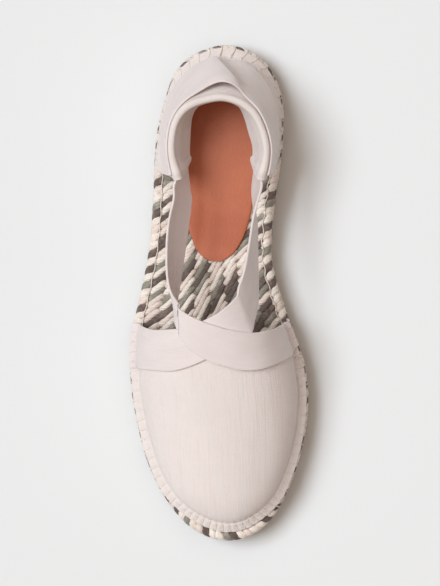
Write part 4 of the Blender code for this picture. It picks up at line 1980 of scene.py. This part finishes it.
@dataclass
class Strap:
    """One crossed elastic band, from its hem at the sole over the vamp and along the foot to the counter."""

    last: Last
    name: str
    node: str
    band: Array
    free: Array
    corner: float = 0.0
    inwards: float = 1.0
    lift: float = 1.0
    crossing_from: float = 0.20
    crossing_to: float = 0.34
    sewn_places: tuple = (0.45, 1.40)
    sewn_low: float = 0.95
    sewn_width: float = 0.80
    sewn_gap: float = 0.00015
    hem_rows: int = 24
    hem_crowding: float = 1.4
    steps: int = 8
    widths: int = 23
    selvedge_rise: float = 0.00012
    selvedge_width: float = 0.0005

    def on_vamp(self, places: Array, width: Array) -> Array:
        """Foot side of the band where it lies on the vamp.

        Args:
            places: Places along the band, counted in rows of its table.
            width: Shares of its width, from the front edge.

        Returns:
            A grid of points.
        """
        last = self.last
        turned = self.band.copy()
        for along, across in ((0, 1), (2, 3)):
            turned[:, across] = last.turn_of(self.band[:, along], self.band[:, across] * last.ball_width)
        rows = through(turned, places)[:, None, :]
        share = width[None, :]
        along = rows[..., 0] + (rows[..., 2] - rows[..., 0]) * share
        turn = np.clip(rows[..., 1] + (rows[..., 3] - rows[..., 1]) * share, -1.0, 1.0)
        across = last.vamp_point(along, turn)[..., 0] / last.ball_width
        over = ease((self.crossing_to - across) / (self.crossing_to - self.crossing_from))
        height = last.canvas + last.fabric_gap + self.lift * (last.elastic + last.fabric_gap) * over
        return last.off_vamp(along, turn, height)

    def free_rows(self, width: Array) -> Array:
        """The rows where the strap runs free.

        Args:
            width: Shares of its width, from the lower edge.

        Returns:
            A grid of points.
        """
        last = self.last
        edges = []
        for along, across, up in np.split(self.free.T, 2):
            z = last.sole_top + up * last.crown_height
            edges.append(np.stack([across * last.ball_width, last.y_of(along), z], axis=-1))
        low, top = edges
        return low[:, None, :] + (top - low)[:, None, :] * width[None, :, None]

    def sewn_end(self, width: Array) -> Array:
        """The rows of the end that goes in behind the counter's facing.

        Args:
            width: Shares of its width, from the lower edge.

        Returns:
            A grid of points.
        """
        last = self.last
        places = self.corner + self.inwards * np.array(self.sewn_places)
        place, drop = np.meshgrid(places, self.sewn_low - self.sewn_width * width, indexing="ij")
        return last.off_collar(last.facing_point, place, drop, last.elastic + self.sewn_gap)

    def grid(self) -> Array:
        """Foot side of the whole band.

        Returns:
            A grid of points, from the hem at the sole to the sewn end.
        """
        width = np.linspace(0.0, 1.0, self.widths)
        end = len(self.band) - 1
        hem = np.linspace(0.0, 1.0, self.hem_rows + 1)[:-1] ** self.hem_crowding
        turning = self.on_vamp(np.array([end - 1.0, end]), width)
        rows = np.concatenate([turning, self.free_rows(width), self.sewn_end(width)])
        flat = rows.reshape(len(rows), -1)
        free = through(flat, np.linspace(1, len(rows) - 1, (len(rows) - 2) * self.steps + 1))
        bound = np.concatenate([hem, np.linspace(1, end, (end - 1) * self.steps + 1)])
        grid = np.concatenate([self.on_vamp(bound, width)[:-1], free.reshape(-1, self.widths, 3)])
        return grid[:, ::-1] if self.inwards < 0 else grid

    def build(self) -> list[bpy.types.Object]:
        """Builds and dresses the band.

        Returns:
            The band.
        """
        grid = self.grid()
        from_edge = np.minimum(path_length(grid, axis=1), path_length(grid[:, ::-1], axis=1)[:, ::-1])
        selvedge = self.selvedge_rise * (1 - ease((from_edge - self.selvedge_width) / self.selvedge_width))
        piece = Sheet(grid, self.last.elastic, selvedge).build(self.name)
        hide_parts(self.node)
        return [place_on_shoe(piece, "elastic", ElasticFinish().material(self.name))]


@dataclass
class Stitching:
    """The thick threads that sew the upper to the rope."""

    last: Last
    rope: RopeSole
    vamp: Vamp
    radius: float = 0.00034
    counter_radius: float = 0.00026
    edge_radius: float = 0.00026
    counter_pitch: float = 0.0052
    upright: tuple = (0.05, 0.09, 1.0)
    lean: float = 0.0008
    hem_rear_side: float = 0.566
    hem_rear_middle: float = 0.58
    hem_end: float = 0.001
    sunk_in_canvas: float = 0.00015
    # A stitch on the vamp: share of the lean before its foot, distance up and out in millimetres
    vamp_path: tuple = ((1.0, 5.6, -0.9), (1.0, 4.9, 0.02), (0.5, 2.6, 0.05), (0.0, 0.5, 0.08))
    # A stitch on the counter: distance up and out in millimetres, and lean in collar rows
    counter_path: tuple = ((5.6, 0.8, -0.12), (4.9, 1.60, -0.12), (2.6, 1.62, -0.06), (0.5, 1.68, 0.0))
    collar_end_gap: float = 0.02
    # Down the sole's side, or into bare rope: inset in millimetres, share of the rope's height
    side_path: tuple = ((0.30, 0.88), (0.75, 0.72), (2.8, 0.60))
    bare_path: tuple = ((-0.5, 0.93), (-0.7, 0.78), (0.0, 0.60))
    side_leans: tuple = (0.4, 0.8, 1.0)
    side_reach: float = 0.0026
    edge_span: tuple = (0.255, 0.600)
    edge_points: int = 90
    edge_waves_mm: tuple = (0.25, 0.45)
    edge_pitch: float = 0.0046
    edge_lift_mm: tuple = (0.05, 0.15)

    def tubes(self, name: str, paths: list[Array], radius: float) -> bpy.types.Object:
        """Threads along the given paths, all with the same number of points."""
        paths = np.array(paths)
        return Rods(paths, np.broadcast_to(self.upright, paths.shape), radius, radius).build(name)

    def smooth(self, points: list[Array], steps: int = 4) -> Array:
        """A smooth path through a few points."""
        points = np.array(points)
        return through(points, np.linspace(0, len(points) - 1, (len(points) - 1) * steps + 1))

    def down_the_side(self, foot: Array) -> list[Array]:
        """Points over the sole's edge and down its side, or into the rope where the edge is far.

        Args:
            foot: Where the thread leaves the hem.

        Returns:
            Three points, of which the last lies inside the rope.
        """
        points, _, total = self.rope.rim
        distances = np.linalg.norm(points - foot[:2], axis=1)
        run = float(np.argmin(distances) / (len(points) - 1) * total)
        far = np.min(distances)
        start, rows = (0.0, self.side_path) if far < self.side_reach else (far / MM, self.bare_path)
        spots = []
        for (inset, share), part in zip(rows, self.side_leans):
            place = np.array(run + self.lean * part)
            spots.append(self.rope.at_rim(place, (start + inset) * MM, np.array(share)))
        return spots

    def build_vamp_threads(self) -> bpy.types.Object:
        """Whip stitches round the hem of the vamp and of the bands.

        Returns:
            The threads.
        """
        last = self.last
        guide = HemGuide(last, self.hem_rear_side, self.hem_rear_middle)
        reach = min(abs(guide.round_toe[-1, 0]), guide.round_toe[-1, -1])
        paths = []
        for run in self.vamp.stitches(reach - self.hem_end):
            banded = guide.hem_point(run, 0.0, 0.0)[1] > last.y_of(self.vamp.band_front)
            off = last.canvas + (last.elastic + last.fabric_gap if banded else -self.sunk_in_canvas)
            points = []
            for before, up, out in self.vamp_path:
                points.append(guide.hem_point(run - before * self.lean, up * MM, off + out * MM))
            paths.append(self.smooth(points + self.down_the_side(points[-1])))
        return self.tubes("hem_threads_vamp", paths, self.radius)

    def build_counter_threads(self) -> bpy.types.Object:
        """Whip stitches round the hem of the counter.

        Returns:
            The threads.
        """
        last = self.last
        path, _ = last.counter_foot
        count = int(path_length(path)[-1] / self.counter_pitch)
        paths = []
        for number in range(count):
            place = (number + 0.5) / count * last.collar_end
            height = np.linalg.norm(last.counter_point(place, 1.0) - last.counter_point(place, 0.0))
            points = []
            for up, out, lean in self.counter_path:
                spot = np.clip(place + lean, self.collar_end_gap, last.collar_end - self.collar_end_gap)
                rise = np.array(up * MM / height)
                points.append(last.off_collar(last.canvas_wall, np.array(spot), rise, np.array(out * MM)))
            paths.append(self.smooth(points + self.down_the_side(points[-1])))
        return self.tubes("hem_threads_counter", paths, self.counter_radius)

    def build_edge_threads(self) -> bpy.types.Object:
        """The long threads on the bare rope, between its wall and its first inner row.

        Returns:
            The threads.
        """
        last = self.last
        along = np.linspace(*self.edge_span, self.edge_points)
        phase = along * last.length / self.edge_pitch * np.pi
        low, wave = self.edge_lift_mm
        z = last.base(along) + low * MM + wave * MM * np.cos(2 * phase)
        paths = []
        lines = last.outline(OUTLINE, self.rope.field_steps, self.rope.wall_inset)
        for line, sway in zip(lines, self.edge_waves_mm):
            x = np.interp(-last.y_of(along), -line[:, 1], line[:, 0]) + sway * MM * np.sin(phase)
            paths.append(np.stack([x, last.y_of(along), z], axis=-1))
        return self.tubes("edge_threads", paths, self.edge_radius)

    def build(self) -> list[bpy.types.Object]:
        """Builds and dresses all threads.

        Returns:
            The threads.
        """
        material = ThreadFinish().material("cotton_thread")
        pieces = [self.build_vamp_threads(), self.build_counter_threads(), self.build_edge_threads()]
        return [place_on_shoe(piece, "canvas", material) for piece in pieces]


@dataclass(frozen=True)
class Lamp:
    """A soft distant light: its place, how wide it looks in radians, its power and its colour."""

    name: str
    place: tuple
    width: float
    power: float
    colour: tuple


@dataclass
class Studio:
    """The pale floor, the soft light and the camera over the shoe."""

    camera_place: tuple = (0.049, 0.014, 1.60)
    aim: tuple = (0.001, 0.000, 0.030)
    frame_height: float = 0.293
    sensor_mm: float = 36.0
    clip: tuple = (0.05, 20.0)
    floor_half: float = 6.0
    floor_colour: tuple = (0.815, 0.83, 0.84)
    floor_roughness: float = 0.9
    window: Lamp = Lamp("window", (-1.0, 0.25, 2.1), 0.50, 2.34, (0.86, 0.94, 1.0))
    ceiling: Lamp = Lamp("ceiling", (-0.2, 0.1, 2.0), 1.4, 0.80, (1.0, 0.89, 0.80))
    room_colour: tuple = (1.0, 0.74, 0.56)
    room_strength: float = 0.19

    def build_floor(self) -> None:
        """A wide matt floor."""
        half = self.floor_half
        corners = [(-half, -half, 0.0), (half, -half, 0.0), (half, half, 0.0), (-half, half, 0.0)]
        mesh = bpy.data.meshes.new("floor")
        mesh.from_pydata(corners, [], [(0, 1, 2, 3)])
        floor = bpy.data.objects.new("floor", mesh)
        bpy.context.scene.collection.objects.link(floor)
        finish = Board("floor").finish(Base_Color=self.floor_colour, Roughness=self.floor_roughness)
        mesh.materials.append(finish)

    def build_lights(self) -> None:
        """A soft cool light from the left, a wider warm one from above, and a dim warm room."""
        for lamp in (self.window, self.ceiling):
            data = bpy.data.lights.new(lamp.name, "SUN")
            data.angle = lamp.width
            data.energy = lamp.power
            data.color = lamp.colour
            light = bpy.data.objects.new(lamp.name, data)
            light.location = lamp.place
            light.rotation_euler = (-light.location).to_track_quat("-Z", "Y").to_euler()
            bpy.context.scene.collection.objects.link(light)
        world = bpy.data.worlds.new("room")
        world.use_nodes = True
        background = world.node_tree.nodes["Background"]
        background.inputs["Color"].default_value = (*self.room_colour, 1.0)
        background.inputs["Strength"].default_value = self.room_strength
        bpy.context.scene.world = world

    def build_camera(self) -> None:
        """The camera above the shoe, with the heel up in the picture."""
        data = bpy.data.cameras.new("camera")
        camera = bpy.data.objects.new("camera", data)
        place, aim = Vector(self.camera_place), Vector(self.aim)
        look = aim - place
        data.sensor_width = self.sensor_mm
        data.lens = self.sensor_mm * look.length / self.frame_height
        data.clip_start, data.clip_end = self.clip
        back = -look.normalized()
        right = Vector((0.0, 1.0, 0.0)).cross(back).normalized()
        up = back.cross(right)
        turned = Matrix((right, up, back)).transposed().to_4x4()
        camera.matrix_world = Matrix.Translation(place) @ turned
        bpy.context.scene.collection.objects.link(camera)
        bpy.context.scene.camera = camera

    def build(self) -> None:
        """Sets up the whole studio."""
        bpy.context.scene.view_settings.view_transform = "Standard"
        self.build_floor()
        self.build_lights()
        self.build_camera()


def main() -> None:
    """Builds the shoe's parts in order, then the studio."""
    logging.basicConfig(level=logging.INFO, format="%(name)s: %(message)s")
    last = Last.from_frame()
    rope = RopeSole(last)
    vamp = Vamp(last)
    outer = Strap(last, "elastic_outer_strap", "strap_upper", UPPER_BAND, OUTER_STRAP)
    end = last.collar_end
    inner = Strap(last, "elastic_inner_strap", "strap_lower", LOWER_BAND, INNER_STRAP, end, -1.0, lift=0.0)
    stitching = Stitching(last, rope, vamp)
    parts = (Outsole(), rope, Insole(last), vamp, Counter(last), outer, inner, stitching)
    for part in parts:
        for piece in part.build():
            LOG.info("%s: %s, %d faces", type(part).__name__, piece.name, len(piece.data.polygons))
    Studio().build()


if __name__ == "__main__":
    main()
